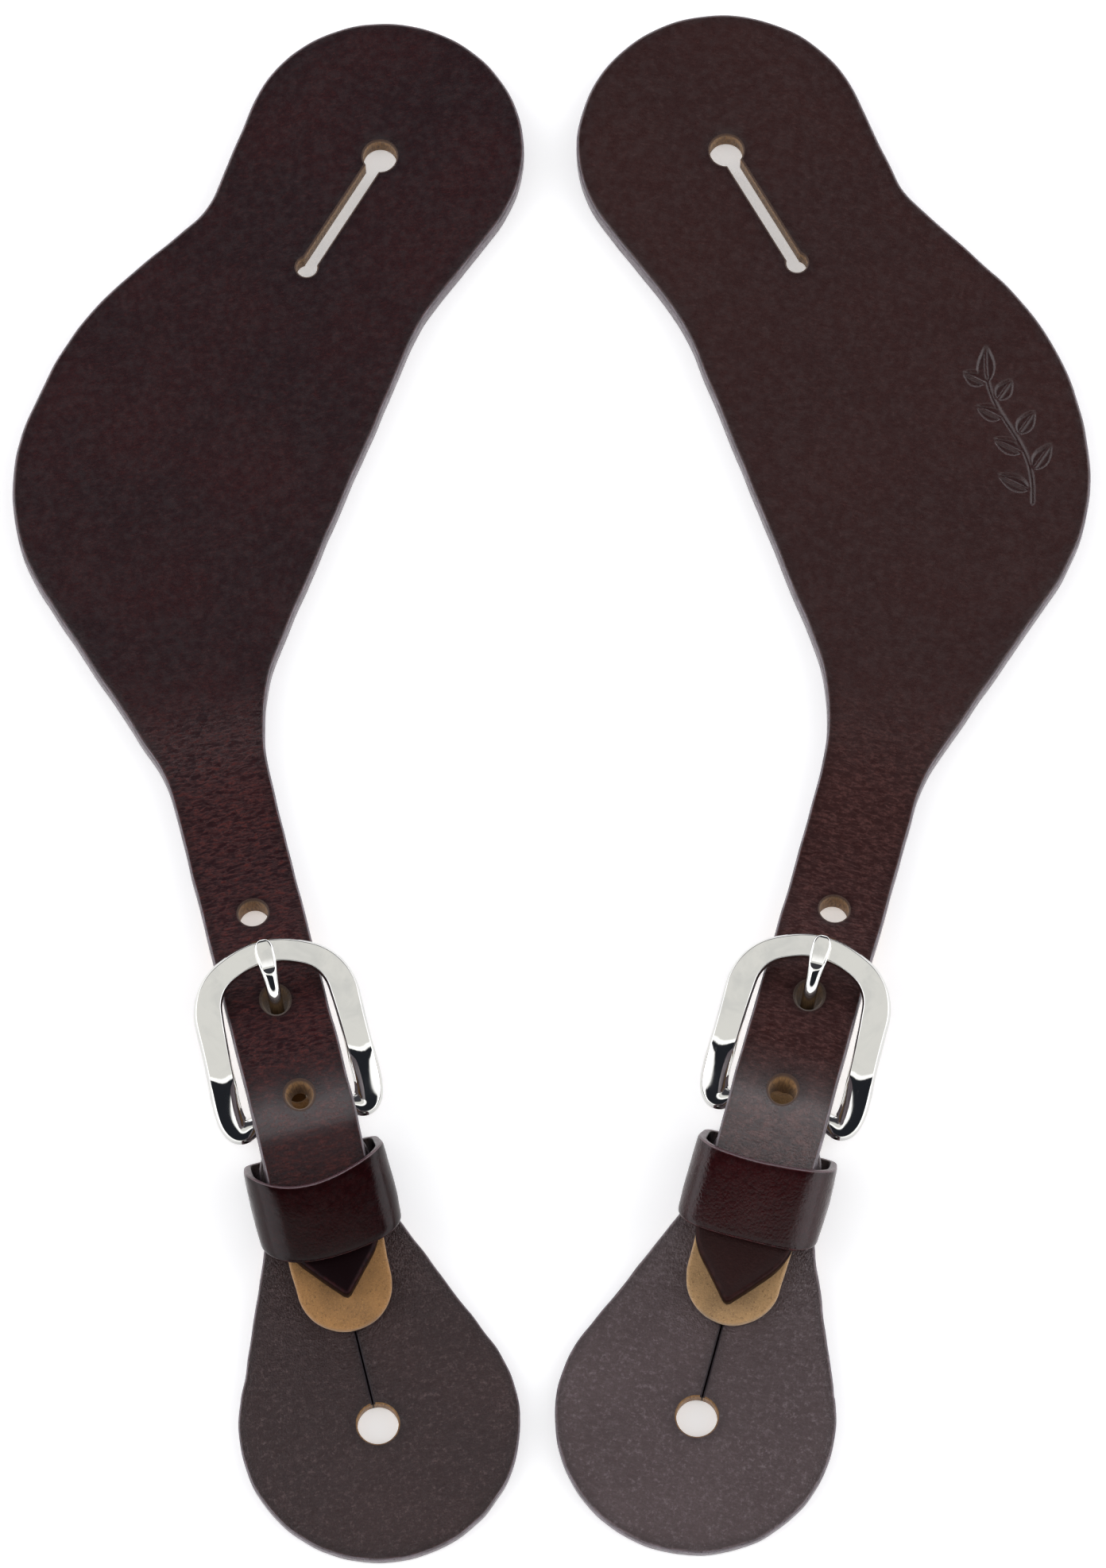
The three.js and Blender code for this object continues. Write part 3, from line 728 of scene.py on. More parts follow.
def make_materials(name):
    """The materials of one strap. The left hide took the dye a little darker and its billet is
    more wrinkled."""
    left = name == "left"
    # the pale colours stand for paler grain and also for the painted sheen and glints
    boot = grain_finish(
        f"{name}_boot_grain",
        deep=(0.0150, 0.0062, 0.0078) if left else (0.0270, 0.0106, 0.0102),
        warm=(0.0380, 0.0086, 0.0092) if left else (0.0370, 0.0126, 0.0112),
        pale_and_sheen=(0.160, 0.034, 0.027) if left else (0.150, 0.065, 0.058),
        rough=0.34, pebble=0.016, crease=0.07 if left else 0.022,
        patchy=0.4, shine=0.4, fineness=1.5, even=False,
    )
    button = grain_finish(
        f"{name}_button_grain",
        deep=(0.0200, 0.0078, 0.0078) if left else (0.0560, 0.0360, 0.0370),
        warm=(0.0330, 0.0140, 0.0130) if left else (0.0820, 0.0560, 0.0570),
        pale_and_sheen=(0.130, 0.085, 0.085) if left else (0.220, 0.180, 0.186),
        rough=0.36, pebble=0.12 if left else 0.10, crease=0.04,
        patchy=0.6, shine=0.33, fineness=1.7, painted_glint_amount=0.5,
    )
    keeper = grain_finish(
        f"{name}_keeper_grain",
        deep=(0.0060, 0.0008, 0.0011) if left else (0.0120, 0.0015, 0.0019),
        warm=(0.0140, 0.0016, 0.0020) if left else (0.0290, 0.0036, 0.0042),
        pale_and_sheen=(0.045, 0.007, 0.007),
        rough=0.23, pebble=0.012 if left else 0.034, crease=0.008,
        patchy=0.8, shine=0.17 if left else 0.26, fineness=1.3,
    )
    tan = (0.38, 0.190, 0.058) if left else (0.43, 0.255, 0.108)
    return {
        "boot": boot,
        "button": button,
        "keeper": keeper,
        "edge": edge_finish(f"{name}_dyed_edge", (0.050, 0.034, 0.040), (0.135, 0.105, 0.122)),
        "keeper_edge": edge_finish(f"{name}_keeper_edge", (0.048, 0.018, 0.023), (0.090, 0.042, 0.052)),
        "lining": edge_finish(f"{name}_keeper_lining", (0.006, 0.003, 0.003), (0.022, 0.009, 0.008)),
        # painted shade: the slit's walls are near black, so the cut shows as a dark line
        "shaded_slit": edge_finish(f"{name}_slit", (0.014, 0.009, 0.011), (0.027, 0.020, 0.023), 0.15),
        "raw": raw_finish(f"{name}_raw_wall", (0.30, 0.155, 0.048), (0.11, 0.05, 0.014), 1.35),
        "thin_raw": raw_finish(f"{name}_thin_raw_wall", (0.30, 0.155, 0.048), (0.12, 0.055, 0.016), 1.2),
        "flesh": suede_finish(f"{name}_flesh", tan, (0.10, 0.045, 0.012)),
        "nickel": nickel_finish(f"{name}_nickel", 0.02 if left else 0.10),
        "wire": wire_finish(f"{name}_staple_wire"),
        "thread": thread_finish(f"{name}_linen"),
    }


# ---- Boot strap ---------------------------------------------------------------------------------

BOOT_ROUNDING = 0.75
HOLE_ROUNDING = 0.35
SHADED_TIP_Y = -24.0                     # from here on the tip's walls take the face's material, with the shade painted on the tip past the keeper
BEND_START_Y = 7.0                     # the billet's stretch over the bar lies between these two
BEND_END_Y = -8.8


def boot_outline(strap):
    s, tip = strap.shoulder, strap.tip
    point_x = BILLET_HALF_WIDTH - BILLET_POINT_RADIUS
    return belt([
        (0.0, tip + 1.4, 0.9),
        (point_x, tip + 16, BILLET_POINT_RADIUS),
        (BILLET_HALF_WIDTH + 45, 65.5, -45.0),
        (95 - s, 114.5 - 2 * s, -50.0),
        (59.2, 185 - 0.5 * s, 27 + s),
        (12.5, 193.5 + 3.5 * s, -16.5),
        (32.6 - 2.8 * s, 120.2 + 3 * s, 57.3 - 1.1 * s),
        (14.5 + 2 * s, 124.2 + 2.2 * s, 40.4 + 2.3 * s),
        (-BILLET_HALF_WIDTH - 30, 64.0, -30.0),
        (-point_x, tip + 16, BILLET_POINT_RADIUS),
    ])


def boot_line():
    """The middle of the boot strap from its tip to its head, as rows of (run, y, z): flat on the
    table, up under the front rail, over the heel bar and down on to the folded tab."""
    flat = BOOT_THICKNESS / 2
    tail = [(-60.0, TIP_Z - 2.2), (-42.0, TIP_Z - 1.0), (-30.0, TIP_Z - 0.25)]
    fall = bezier([(-22, TIP_Z), (-8, TIP_Z), (-6, BILLET_TOP_Z), (0, BILLET_TOP_Z)], 40)
    rise = bezier([(0, BILLET_TOP_Z), (23, BILLET_TOP_Z), (33, flat), (RISE_START_Y, flat)], 80)
    line = np.concatenate([tail, fall, rise[1:], [(RISE_START_Y + 3, flat), (240.0, flat)]])
    return np.column_stack([line[:, 0], line])


def ragged(loop, seed):
    """A knife-cut outline is never quite even."""
    heading = np.arange(len(loop)) * 0.9
    return inset(loop, 0.06 * ripple(heading, np.zeros(len(loop)), 9.0, seed))


SPRIG_FOOT = (-16.0, 127.5)            # on the right strap's widest part
SPRIG_HEADING = math.radians(61.0)
SPRIG_LENGTH = 34.0
SPRIG_LEAVES = 7
SPRIG_DEPTH = 0.42


def leaf_press(along, across, length, width):
    """How deep a leaf-shaped stamp presses, from 0 to 1: a dished blade with a raised midrib."""
    share = np.clip(along / length, 0.0, 1.0)
    half = width * np.sin(math.pi * share**0.75)
    blade = smoothstep(half - np.abs(across), 0.0, 0.45)
    blade = np.where((along > 0) & (along < length), blade, 0.0)
    midrib = np.exp(-((across / 0.28) ** 2))
    return blade * (1.0 - 0.75 * midrib)


def turned(x, y, heading):
    """How far (x, y) lies along a heading, and how far to the left of it."""
    return (
        x * math.cos(heading) + y * math.sin(heading),
        y * math.cos(heading) - x * math.sin(heading),
    )


def sprig_press(x, y):
    """A small tooled sprig: a curved stem with leaves on alternate sides and one at its end."""
    run, off = turned(x - SPRIG_FOOT[0], y - SPRIG_FOOT[1], SPRIG_HEADING)
    sway = 1.6 * np.sin(2 * math.pi * run / SPRIG_LENGTH)
    on_stem = smoothstep(run, 0.0, 1.0) * (1 - smoothstep(run, SPRIG_LENGTH - 7, SPRIG_LENGTH - 6))
    pressed = 0.9 * np.exp(-(((off - sway) / 0.38) ** 2)) * on_stem
    for k in range(SPRIG_LEAVES):
        start = 3.0 + k * (SPRIG_LENGTH - 9.0) / (SPRIG_LEAVES - 0.5)
        side = 1.0 if k % 2 else -1.0
        base = 1.6 * math.sin(2 * math.pi * start / SPRIG_LENGTH)
        along, across = turned(run - start, off - base, side * math.radians(48.0))
        pressed = np.maximum(pressed, leaf_press(along - 0.7, across, 7.2 - 0.35 * k, 1.75))
    end = leaf_press(run - SPRIG_LENGTH + 7.5, off - sway, 8.0, 1.9)
    return np.maximum(pressed, end)


def boot_plate(strap):
    lower = TONGUE_HOLE_Y - HOLE_PITCH
    upper = TONGUE_HOLE_Y + HOLE_PITCH
    cuts = [
        (ragged(boot_outline(strap), strap.seed), BOOT_ROUNDING, EDGE),
        (keyhole(KEYHOLE_HEAD, KEYHOLE_END, KEYHOLE_SLOT_WIDTH), HOLE_ROUNDING, RAW),
        (round_hole(0, lower, HOLE_RADIUS), HOLE_ROUNDING, RAW),
        (round_hole(0, TONGUE_HOLE_Y, HOLE_RADIUS, TONGUE_HOLE_STRETCH), HOLE_ROUNDING, RAW),
        (round_hole(0, upper, HOLE_RADIUS), HOLE_ROUNDING, RAW),
    ]
    if strap.left:
        return Plate(cuts, 1.5)
    foot_x, foot_y = SPRIG_FOOT
    end_x = foot_x + SPRIG_LENGTH * math.cos(SPRIG_HEADING)
    end_y = foot_y + SPRIG_LENGTH * math.sin(SPRIG_HEADING)
    return Plate(cuts, 1.5, ((foot_x - 6, foot_y - 3), (end_x + 6, end_y + 3), 0.28))


def narrowed(x, y, height, strap):
    """The hole the tongue is in, and the worn hole over the bar, close up towards the flesh side."""
    share = np.clip(0.5 - height / BOOT_THICKNESS, 0.0, 1.0)
    tongue_hole = (TONGUE_HOLE_Y, 1.6, 0.0)
    worn_hole = (TONGUE_HOLE_Y - HOLE_PITCH, *((1.2, 0.0) if strap.left else (0.6, 1.6)))
    for hole_y, most, far_most in (tongue_hole, worn_hole):
        radius = np.hypot(x, y - hole_y) + 1e-9
        far = np.clip((y - hole_y) / radius, 0.0, 1.0)
        near_wall = np.exp(-(((radius - HOLE_RADIUS) / 1.3) ** 2))
        pull = (most + far_most * far) * share * near_wall / radius
        x = x * (1 - pull)
        y = y - (y - hole_y) * pull
    return x, y


def boot_fields(strap, plate, x, y):
    """What the boot strap's materials read: where it flexes, what is rubbed knobbly between the
    buckle and the keeper, how much light each part of the billet catches and where a sheen is
    painted into its colour, and where shade is painted: in the hole the tongue stands in and on the tip."""
    fields = edge_fields(plate)
    past_keeper = smoothstep(y, -30.0, -20.0)
    fields["flex"] = past_keeper * (1 - smoothstep(y, 62.0, 92.0))
    fields["knobbly"] = past_keeper * (1 - smoothstep(y, 1.0, 12.0)) * (plate.side > 0)
    # painted shade in the hole the tongue stands in
    fields["painted_hole_shade"] = 0.55 * (np.hypot(x, y - TONGUE_HOLE_Y) < HOLE_RADIUS + 1.2)
    # painted shade on the billet tip past the keeper, lighter on the right strap's face and at the turn
    # of the edge
    tip_dull = np.where(plate.depth > 0, 1.0 if strap.left else 0.4, 1.0)
    fields["dull"] = tip_dull * (1 - smoothstep(y, -27.0, -22.0)) * (1 - 0.3 * fields["corner"])
    # how much of the room the billet mirrors, which also paints a sheen into its colour below the hole
    # over the bar
    sheen_end = -4.0 if strap.left else -14.0
    sheen = smoothstep(y, sheen_end - 3, sheen_end + 1) * (1 - smoothstep(y, -1.5, 1.5))
    rise = smoothstep(y, -1.0, 6.0) * (1 - smoothstep(y, 62.0, 84.0))
    keeper_side = 1 - smoothstep(y, sheen_end - 2.0, sheen_end)
    glare = 0.25 if strap.left else 0.4
    fields["gloss"] = 0.5 - 0.36 * rise + glare * sheen - 0.32 * keeper_side
    return fields


def boot_strap(strap, materials):
    plate = boot_plate(strap)
    x, y = plate.plan.T
    on_top = plate.side > 0
    crown = 0.12 * np.exp(-((plate.depth / 1.6) ** 2))
    uneven = 0.05 * ripple(x, y, 26.0, strap.seed + 1)
    height = plate.height(BOOT_THICKNESS) - on_top * (crown + 0.05 - uneven)
    if not strap.left:
        height = height - on_top * SPRIG_DEPTH * sprig_press(x, y)
    points = bent(*narrowed(x, y, height, strap), height, boot_line())
    kinds = np.array(plate.kinds)
    face_y = np.array([y[list(face)].mean() for face in plate.faces])
    kinds[(face_y < SHADED_TIP_Y) & (kinds == EDGE)] = GRAIN
    piece = strap.piece(
        "boot_leather", points, plate.faces,
        [materials[kind] for kind in ("boot", "edge", "raw", "flesh")],
        kinds, np.column_stack([x, y, height]), **boot_fields(strap, plate, x, y),
    )
    start, end = strap.to_model([(0, BEND_START_Y, BAR_Z), (0, BEND_END_Y, BAR_Z)])
    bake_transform(piece)
    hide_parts(f"{strap.name}_boot_strap", f"{strap.name}_billet_tip")


def edge_fields(plate):
    """margin fades in over the last few mm before an edge, and corner is the turn of the edge."""
    corner = np.where(plate.depth > 0, 0.0, smoothstep(plate.drop, 0.0, 0.05))
    corner = corner * (plate.side > 0) * (1 - smoothstep(plate.drop, 0.4, 0.7))
    return {"margin": np.exp(-((plate.depth / 1.3) ** 2)), "corner": corner}


# ---- Button strap -------------------------------------------------------------------------------

FOLD_MIDDLE = BAR_RADIUS + 0.2 + FOLD_THICKNESS / 2
FOLD_LENGTH = math.pi * FOLD_MIDDLE
TAB_END_RUN = FOLD_LENGTH - TAB_END_Y
TAB_SHOWS_RUN = FOLD_LENGTH + 24.0     # the tab comes out from under the keeper here
SLIT_REACH = 0.45                      # how far from its line the slit's lips reach
SLIT_SHUT_HEIGHT = 0.4                 # the slit is shut below this height on the hide


def settle(y):
    """How far the neck is raised on the keeper at y."""
    return NECK_BASE_Z * smoothstep(y, -46.0, -20.0)


def button_outline():
    """The button strap unrolled: the teardrop, the neck, the turn round the bar and the tab."""
    neck, tab = NECK_HALF_WIDTH, TAB_HALF_WIDTH
    return belt([
        (0.3, -58.8, 25.3),
        (neck + 15.9, -15.0, -14.2),
        (tab, TAB_END_RUN - 8.0, 0.0),
        (0.0, TAB_END_RUN - tab, tab),
        (-tab, TAB_END_RUN - 8.0, 0.0),
        (-neck - 15.9, -15.0, -14.2),
    ], 0.7)


def button_line():
    """The middle of the leather from the round end to the tab's end, as rows of (run, y, z)."""
    flat = np.linspace(-90.0, -7.0, 84)
    neck = np.column_stack([flat, flat, settle(flat) + BUTTON_THICKNESS / 2])
    turn = np.linspace(-math.pi / 2, math.pi / 2, 25)
    fold = np.column_stack([
        (turn + math.pi / 2) * FOLD_MIDDLE,
        FOLD_MIDDLE * np.cos(turn),
        BAR_Z + FOLD_MIDDLE * np.sin(turn),
    ])
    back = np.concatenate([[-2.5], np.linspace(-8.0, -50.0, 43)])
    tab_z = settle(back) + BUTTON_THICKNESS + TAB_GAP + TAB_THICKNESS / 2
    tab_z[0] = BAR_Z + FOLD_MIDDLE - 0.35
    tab = np.column_stack([FOLD_LENGTH - back, back, tab_z])
    rough = np.concatenate([neck, fold, tab])
    runs = np.arange(rough[0, 0], rough[-1, 0], 0.25)
    line = np.column_stack([runs, *(np.interp(runs, rough[:, 0], rough[:, k]) for k in (1, 2))])
    line[:, 1:] = smoothed(line[:, 1:], 12)
    return line


def button_thickness(run):
    down = mix(BUTTON_THICKNESS, FOLD_THICKNESS, smoothstep(run, -7.0, -1.5))
    return mix(down, TAB_THICKNESS, smoothstep(run, FOLD_LENGTH, FOLD_LENGTH + 6.0))


def stitch_runs():
    """The places of the awl holes, on the neck and on the tab above it."""
    places = STITCH_START_Y - STITCH_PITCH * np.arange(STITCH_COUNT + 1)
    return places, FOLD_LENGTH - places


def stitch_dent(x, run):
    """The thread pulls the leather down along each row."""
    dent = np.zeros(len(x))
    for runs in stitch_runs():
        inside_row = smoothstep(run, runs.min() - 1.0, runs.min()) * (
            1 - smoothstep(run, runs.max(), runs.max() + 1.0)
        )
        for row in (-STITCH_ROW_X, STITCH_ROW_X):
            dent += 0.28 * np.exp(-(((x - row) / 0.7) ** 2)) * inside_row
    return dent


def drawn_in(x, run):
    """x with the turn round the bar cut narrower, so that it swings clear of the buckle's heels."""
    in_turn = smoothstep(run, -9.0, -4.0) * (1 - smoothstep(run, FOLD_LENGTH + 4.0, FOLD_LENGTH + 9.0))
    return x - np.sign(x) * 1.5 * in_turn * smoothstep(np.abs(x), 4.0, 9.0)


def along_slit(x, run):
    """Which places belong to the knife slit's lips and walls."""
    past_hole = run > BUTTON_HOLE[1] + BUTTON_HOLE[2]
    return (np.abs(x) < SLIT_REACH) & past_hole & (run < SLIT_END_Y + SLIT_REACH)


def button_height(strap, plate, x, run):
    """Each vertex's height above the middle of the button strap: crowned, a little lumpy, lipped
    round the button hole, dented by the stitches, and thinned where it lies over the tongue's curl."""
    on_top = plate.side > 0
    crown = 0.12 * np.exp(-((plate.depth / 1.4) ** 2))
    from_rim = np.hypot(x, run - BUTTON_HOLE[1]) - BUTTON_HOLE[2] - 1.2
    lips = 0.22 * np.exp(-((from_rim / 1.3) ** 2)) * (run < -50)
    lumpy = 0.05 * ripple(x, run, 15.0, strap.seed + 3)
    over_curl = smoothstep(run, strap.slot_end - 1.5, strap.slot_end - 0.5) * (
        1 - smoothstep(run, FOLD_LENGTH + 4.5, FOLD_LENGTH + 6.0)
    )
    thinned = 0.95 * over_curl * (1 - smoothstep(np.abs(x), 1.9, 2.8))
    height = plate.height(button_thickness(run))
    height = height - on_top * (crown + 0.05 - lumpy - lips + thinned)
    height = height + (plate.side == -1) * stitch_dent(x, run)
    nap = 0.05 * ripple(x, run, 1.1, strap.seed + 4)
    return height - (plate.side < 0) * (run > FOLD_LENGTH) * nap


def button_strap(strap, materials):
    slit_end = (0.0, SLIT_END_Y, SLIT_WIDTH / 2)
    slot = TONGUE_SLOT_HALF_WIDTH
    slot_ends = ((0.0, -TONGUE_SLOT_REACH + slot, slot), (0.0, strap.slot_end - slot, slot))
    plate = Plate([
        (ragged(button_outline(), strap.seed + 2), 0.6, EDGE),
        (keyhole(BUTTON_HOLE, slit_end, SLIT_WIDTH, 0.3), 0.28, RAW),
        (keyhole(*slot_ends[::-1], 2 * slot), 0.3, RAW),
    ], 1.1)
    x, run = plate.plan.T
    height = button_height(strap, plate, x, run)
    shut = along_slit(x, run) & (plate.depth <= 0) & (height < SLIT_SHUT_HEIGHT)
    points = bent(np.where(shut, 0.08, 1.0) * drawn_in(x, run), run, height, button_line())
    kinds = np.array(plate.kinds)
    face_x, face_run = (np.array([v[list(face)].mean() for face in plate.faces]) for v in (x, run))
    kinds[(face_run > TAB_SHOWS_RUN) & (kinds == EDGE)] = FLESH
    # the slit's walls get the near-black painted shade
    kinds[along_slit(face_x, face_run) & (kinds == RAW)] = SLIT
    piece = strap.piece(
        "button_leather", points, plate.faces,
        [materials[kind] for kind in ("button", "edge", "thin_raw", "flesh", "shaded_slit")],
        kinds, np.column_stack([x, run, height]),
        flex=0.6 * smoothstep(run, -46.0, -30.0) + 0.15, **edge_fields(plate),
    )
    strap.finish_piece(piece, "button_body", "button_leather", "button_strap")


def ring_of(centre, side, up, radius_side, radius_up, size, turn=0.0):
    angles = turn + np.linspace(0.0, 2 * math.pi, size, endpoint=False)
    return (
        centre
        + np.outer(radius_side * np.cos(angles), side)
        + np.outer(radius_up * np.sin(angles), up)
    )


def stitches(strap, materials):
    """Saddle stitches: a plump slanted thread from hole to hole on both faces, and the legs that
    go down through the leather."""
    tab_top = NECK_BASE_Z + BUTTON_THICKNESS + TAB_GAP + TAB_THICKNESS
    for name, row in (("inner", STITCH_ROW_X), ("outer", -STITCH_ROW_X)):
        holes = stitch_runs()[0]
        route = []
        for level, order in ((tab_top - 0.15, holes), (NECK_BASE_Z + 0.3, holes[::-1])):
            for a, b in zip(order, order[1:]):
                sink = math.copysign(0.55, BAR_Z - level)
                for share in np.linspace(0.0, 1.0, 9):
                    belly = math.sin(math.pi * share) ** 0.5
                    route.append((
                        row + 0.14 * math.sin(2 * math.pi * share),
                        mix(a, b, share),
                        level + sink * (1 - belly),
                    ))
        route = smoothed(np.array(route), 1, closed=True)
        sides, ups = frames_along(route, (0.3, 0.05, 1.0), closed=True)
        rings = []
        for k, (centre, side, up) in enumerate(zip(route, sides, ups)):
            strand = THREAD_RADIUS * (1.0 + 0.06 * math.sin(1.9 * k))
            rings.append(ring_of(centre, side, up, strand, strand, 10, 0.35 * k))
        points, faces = loft(rings, closed=True)
        piece = strap.piece(f"chape_stitching_{name}", points, faces, [materials["thread"]])
        strap.finish_piece(piece, "button_body", "thread", f"chape_thread_{name}")


# ---- Buckle -------------------------------------------------------------------------------------

ARM_END_Y = 8.0                        # the flat bezel stops here and the heel starts
HEEL_RADIUS = 1.85
HEEL_SWELL = 0.75                      # the heel is this much wider each way at its corners


def arm_height(y):
    """The middle of the frame's thickness at y."""
    return RAIL_INNER_Z + FRAME_THICKNESS / 2 - (RAIL_INNER_Y - y) * math.tan(FRAME_TILT)


def bezel_edges(count):
    """The outer and the inner edge of the bezel in plan, from the right arm round to the left."""
    outer = belt_arcs([
        (13.2, 5.5, 2.4), (4.2, 19.6, 10.9), (0.0, 15.5, 16.3), (-4.2, 19.6, 10.9), (-13.2, 5.5, 2.4),
    ], 0.3)
    inner = belt_arcs([
        (10.4, 5.5, 0.01), (3.7, 19.4, 6.7), (0.0, 15.2, 12.0), (-3.7, 19.4, 6.7), (-10.4, 5.5, 0.01),
    ], 0.3)
    lines = []
    for arcs in (outer, inner):
        line = np.concatenate([arcs[0][-1:], *arcs[1:4], arcs[4][:1]])
        line = resample(line, 600)
        lines.append(resample(line[line[:, 1] > ARM_END_Y], count))
    return lines


def bezel_section(half):
    """The bezel cut across, outward to the right: a flat top with crisp bevels, rounded flanks and
    a softer underside. half is half its width. Every section has the same number of points."""
    top = FRAME_THICKNESS / 2
    corners = [
        (half - 0.95, -0.30, 0.95, -45, 38, 7),
        (half - 0.62, top - 0.22, 0.22, 45, 90, 5),
        (-half + 0.48, top - 0.22, 0.22, 90, 140, 5),
        (-half + 0.80, 0.10, 0.80, 150, 225, 7),
        (-half + 1.00, -top + 0.60, 0.60, 225, 270, 4),
        (half - 1.00, -top + 0.60, 0.60, 270, 315, 4),
    ]
    points = []
    for x, y, radius, start, end, steps in corners:
        angles = np.radians(np.linspace(start, end, steps))
        points.append(np.stack([x + radius * np.cos(angles), y + radius * np.sin(angles)], 1))
    flat_top = np.linspace(points[1][-1], points[2][0], 7)[1:-1]
    flat_base = np.linspace(points[4][-1], points[5][0], 5)[1:-1]
    return np.concatenate([*points[:2], flat_top, *points[2:5], flat_base, points[5]])


def circle_like(section):
    """The unit circle's points that a section's points turn into, the top staying on top."""
    steps = np.linalg.norm(np.roll(section, -1, 0) - section, axis=1)
    along = np.concatenate([[0.0], np.cumsum(steps)[:-1]]) / steps.sum()
    top = along[np.argmin(np.abs(section[:, 0]) + 9.0 * (section[:, 1] < 1.0))]
    angles = 2 * math.pi * (along - top) + math.pi / 2
    return np.stack([np.cos(angles), np.sin(angles)], 1)


def buckle_line():
    """The middle of the metal, all the way round from the right arm, and half its width. The width
    is 0 along the round heel."""
    outer, inner = bezel_edges(150)
    middle = (outer + inner) / 2
    width = np.linalg.norm(outer - inner, axis=1)
    bezel = np.column_stack([middle, [arm_height(y) for y in middle[:, 1]]])
    arm_x, arm_y, arm_z = -bezel[-1, 0], bezel[-1, 1], bezel[-1, 2]
    heel = bezier([
        (-arm_x, arm_y, arm_z),
        (-arm_x - 0.2, arm_y - 4.2, arm_z - 2.2),
        (-13.7, -2.7, BAR_Z + 0.2),
        (-9.0, 0.0, BAR_Z),
    ], 44)
    bar = np.linspace(heel[-1], heel[-1] * (-1, 1, 1), 40)
    far_heel = heel[::-1] * (-1, 1, 1)
    line = np.concatenate([bezel, heel[1:], bar[1:], far_heel[1:-1]])
    widths = np.concatenate([width, np.zeros(len(line) - len(width))])
    return smoothed(line, 9, closed=True), widths / 2


def buckle_frame(strap, materials):
    line, halves = buckle_line()
    up = (0.0, -math.sin(FRAME_TILT), math.cos(FRAME_TILT))
    sides, ups = frames_along(line, up, closed=True)
    flat = (halves > 0).astype(float)
    for _ in range(12):
        flat = 0.25 * np.roll(flat, 1) + 0.5 * flat + 0.25 * np.roll(flat, -1)
    round_section = circle_like(bezel_section(2.1))
    from_bar = smoothstep(np.abs(line[:, 0]), 9.2, 12.0)
    rings = []
    for centre, side, lift, half, share, swell in zip(line, sides, ups, halves, flat, from_bar):
        section = bezel_section(half if half > 0 else 2.6)
        heel_height = mix(HEEL_RADIUS, FRAME_THICKNESS / 2, swell)
        heel = round_section * (HEEL_RADIUS + HEEL_SWELL * swell, heel_height)
        section = mix(heel, section, share)
        rings.append(centre + np.outer(section[:, 0], side) + np.outer(section[:, 1], lift))
    points, faces = loft(rings, closed=True)
    piece = strap.piece("buckle", points, faces, [materials["nickel"]], dull=np.zeros(len(points)))
    strap.finish_piece(piece, "boot_body", "nickel", "buckle_frame")


CURL_HALF_THICKNESS = 0.42             # the end that turns round the bar is beaten flat


def tongue_line():
    """The tongue from its curl round the bar, forward under the billet, up through the hole and
    over the rail."""
    curl = np.radians(np.linspace(55, 270, 24))
    radius = BAR_RADIUS + 0.2 + CURL_HALF_THICKNESS
    curl = np.stack([radius * np.cos(curl), BAR_Z + radius * np.sin(curl)], 1)
    rail_top = arm_height(30) + FRAME_THICKNESS / 2 + TONGUE_RADIUS
    reach = [
        (5, 2.4), (11, 3.2), (16, 5.2), (18.6, 7.8), (20.2, 10.8), (21.8, 13.3), (24.6, 14.8),
        (27.6, rail_top - 0.05), (30.9, rail_top + 0.55),
    ]
    line = smoothed(resample(np.concatenate([curl, reach]), 150), 14)
    return np.column_stack([np.zeros(len(line)), line])


def buckle_tongue(strap, materials):
    line = tongue_line()
    up = np.cross((1.0, 0.0, 0.0), np.gradient(line, axis=0))
    up /= np.linalg.norm(up, axis=1)[:, None]
    angles = np.linspace(0.0, 2 * math.pi, 28, endpoint=False)
    length = np.concatenate([[0.0], np.cumsum(np.linalg.norm(np.diff(line, axis=0), axis=1))])
    to_tip = length[-1] - length
    full = smoothstep(line[:, 1], 5.0, 10.0) * smoothstep(length, 7.0, 12.0)
    rings = []
    for centre, lift, left_over, whole in zip(line, up, to_tip, full):
        spread = float(1 - smoothstep(left_over, 3.0, 8.6))
        tip = math.sqrt(max(0.0, 1.0 - max(0.0, 1.0 - left_over / 1.9) ** 2))
        wide = mix(mix(1.72, 1.3, whole), 1.75, spread) * max(tip, 0.12)
        end = math.sqrt(max(0.0, 1.0 - max(0.0, 1.0 - left_over / 0.5) ** 2))
        high = mix(mix(CURL_HALF_THICKNESS, 1.2, whole), 1.15, spread) * max(end, 0.3)
        section = np.stack([wide * np.cos(angles), high * np.sin(angles)], 1)
        flat = mix(high, 0.55 * high, float(1 - smoothstep(left_over, 5.4, 6.6)))
        section[:, 1] = np.minimum(section[:, 1], flat)
        rings.append(centre + np.outer(section[:, 0], (1, 0, 0)) + np.outer(section[:, 1], lift))
    points, faces = loft(rings[::-1], closed=False)
    # painted shade: dark from under the billet round the curl, clean towards the tip
    dull = np.append(np.repeat(1.0 - smoothstep(line[::-1, 1], 12.0, 16.0), len(angles)), (0.0, 1.0))
    piece = strap.piece("tongue", points, faces, [materials["nickel"]], dull=dull)
    strap.finish_piece(piece, "tongue_body", "nickel", "buckle_tongue")


# ---- Keeper -------------------------------------------------------------------------------------


def lean_keeper(strap, x, share, z):
    """Leans a straight loop back, lifts its buckle side and lets its top sag along the strap.
    share is 0 at the buckle side and 1 at the far edge."""
    rise = z / KEEPER_HEIGHT
    across = np.clip((x - strap.sag_x * (1 - (x / KEEPER_HEIGHT) ** 2)) / KEEPER_HALF_WIDTH, -1, 1)
    sag = mix(*strap.sag, share) * (1 - across**2) * smoothstep(z, 3.0, 12.0)
    near = mix(*KEEPER_NEAR_Y, rise)
    far = mix(*KEEPER_FAR_Y, np.clip(rise, 0.0, None) ** 0.8)
    lift = np.where(rise > 0.5, KEEPER_LIFT * (1 - share) * (rise - 0.5), 0.0)
    return np.column_stack([x, mix(near, far, share) - sag, z + KEEPER_HEIGHT * lift])


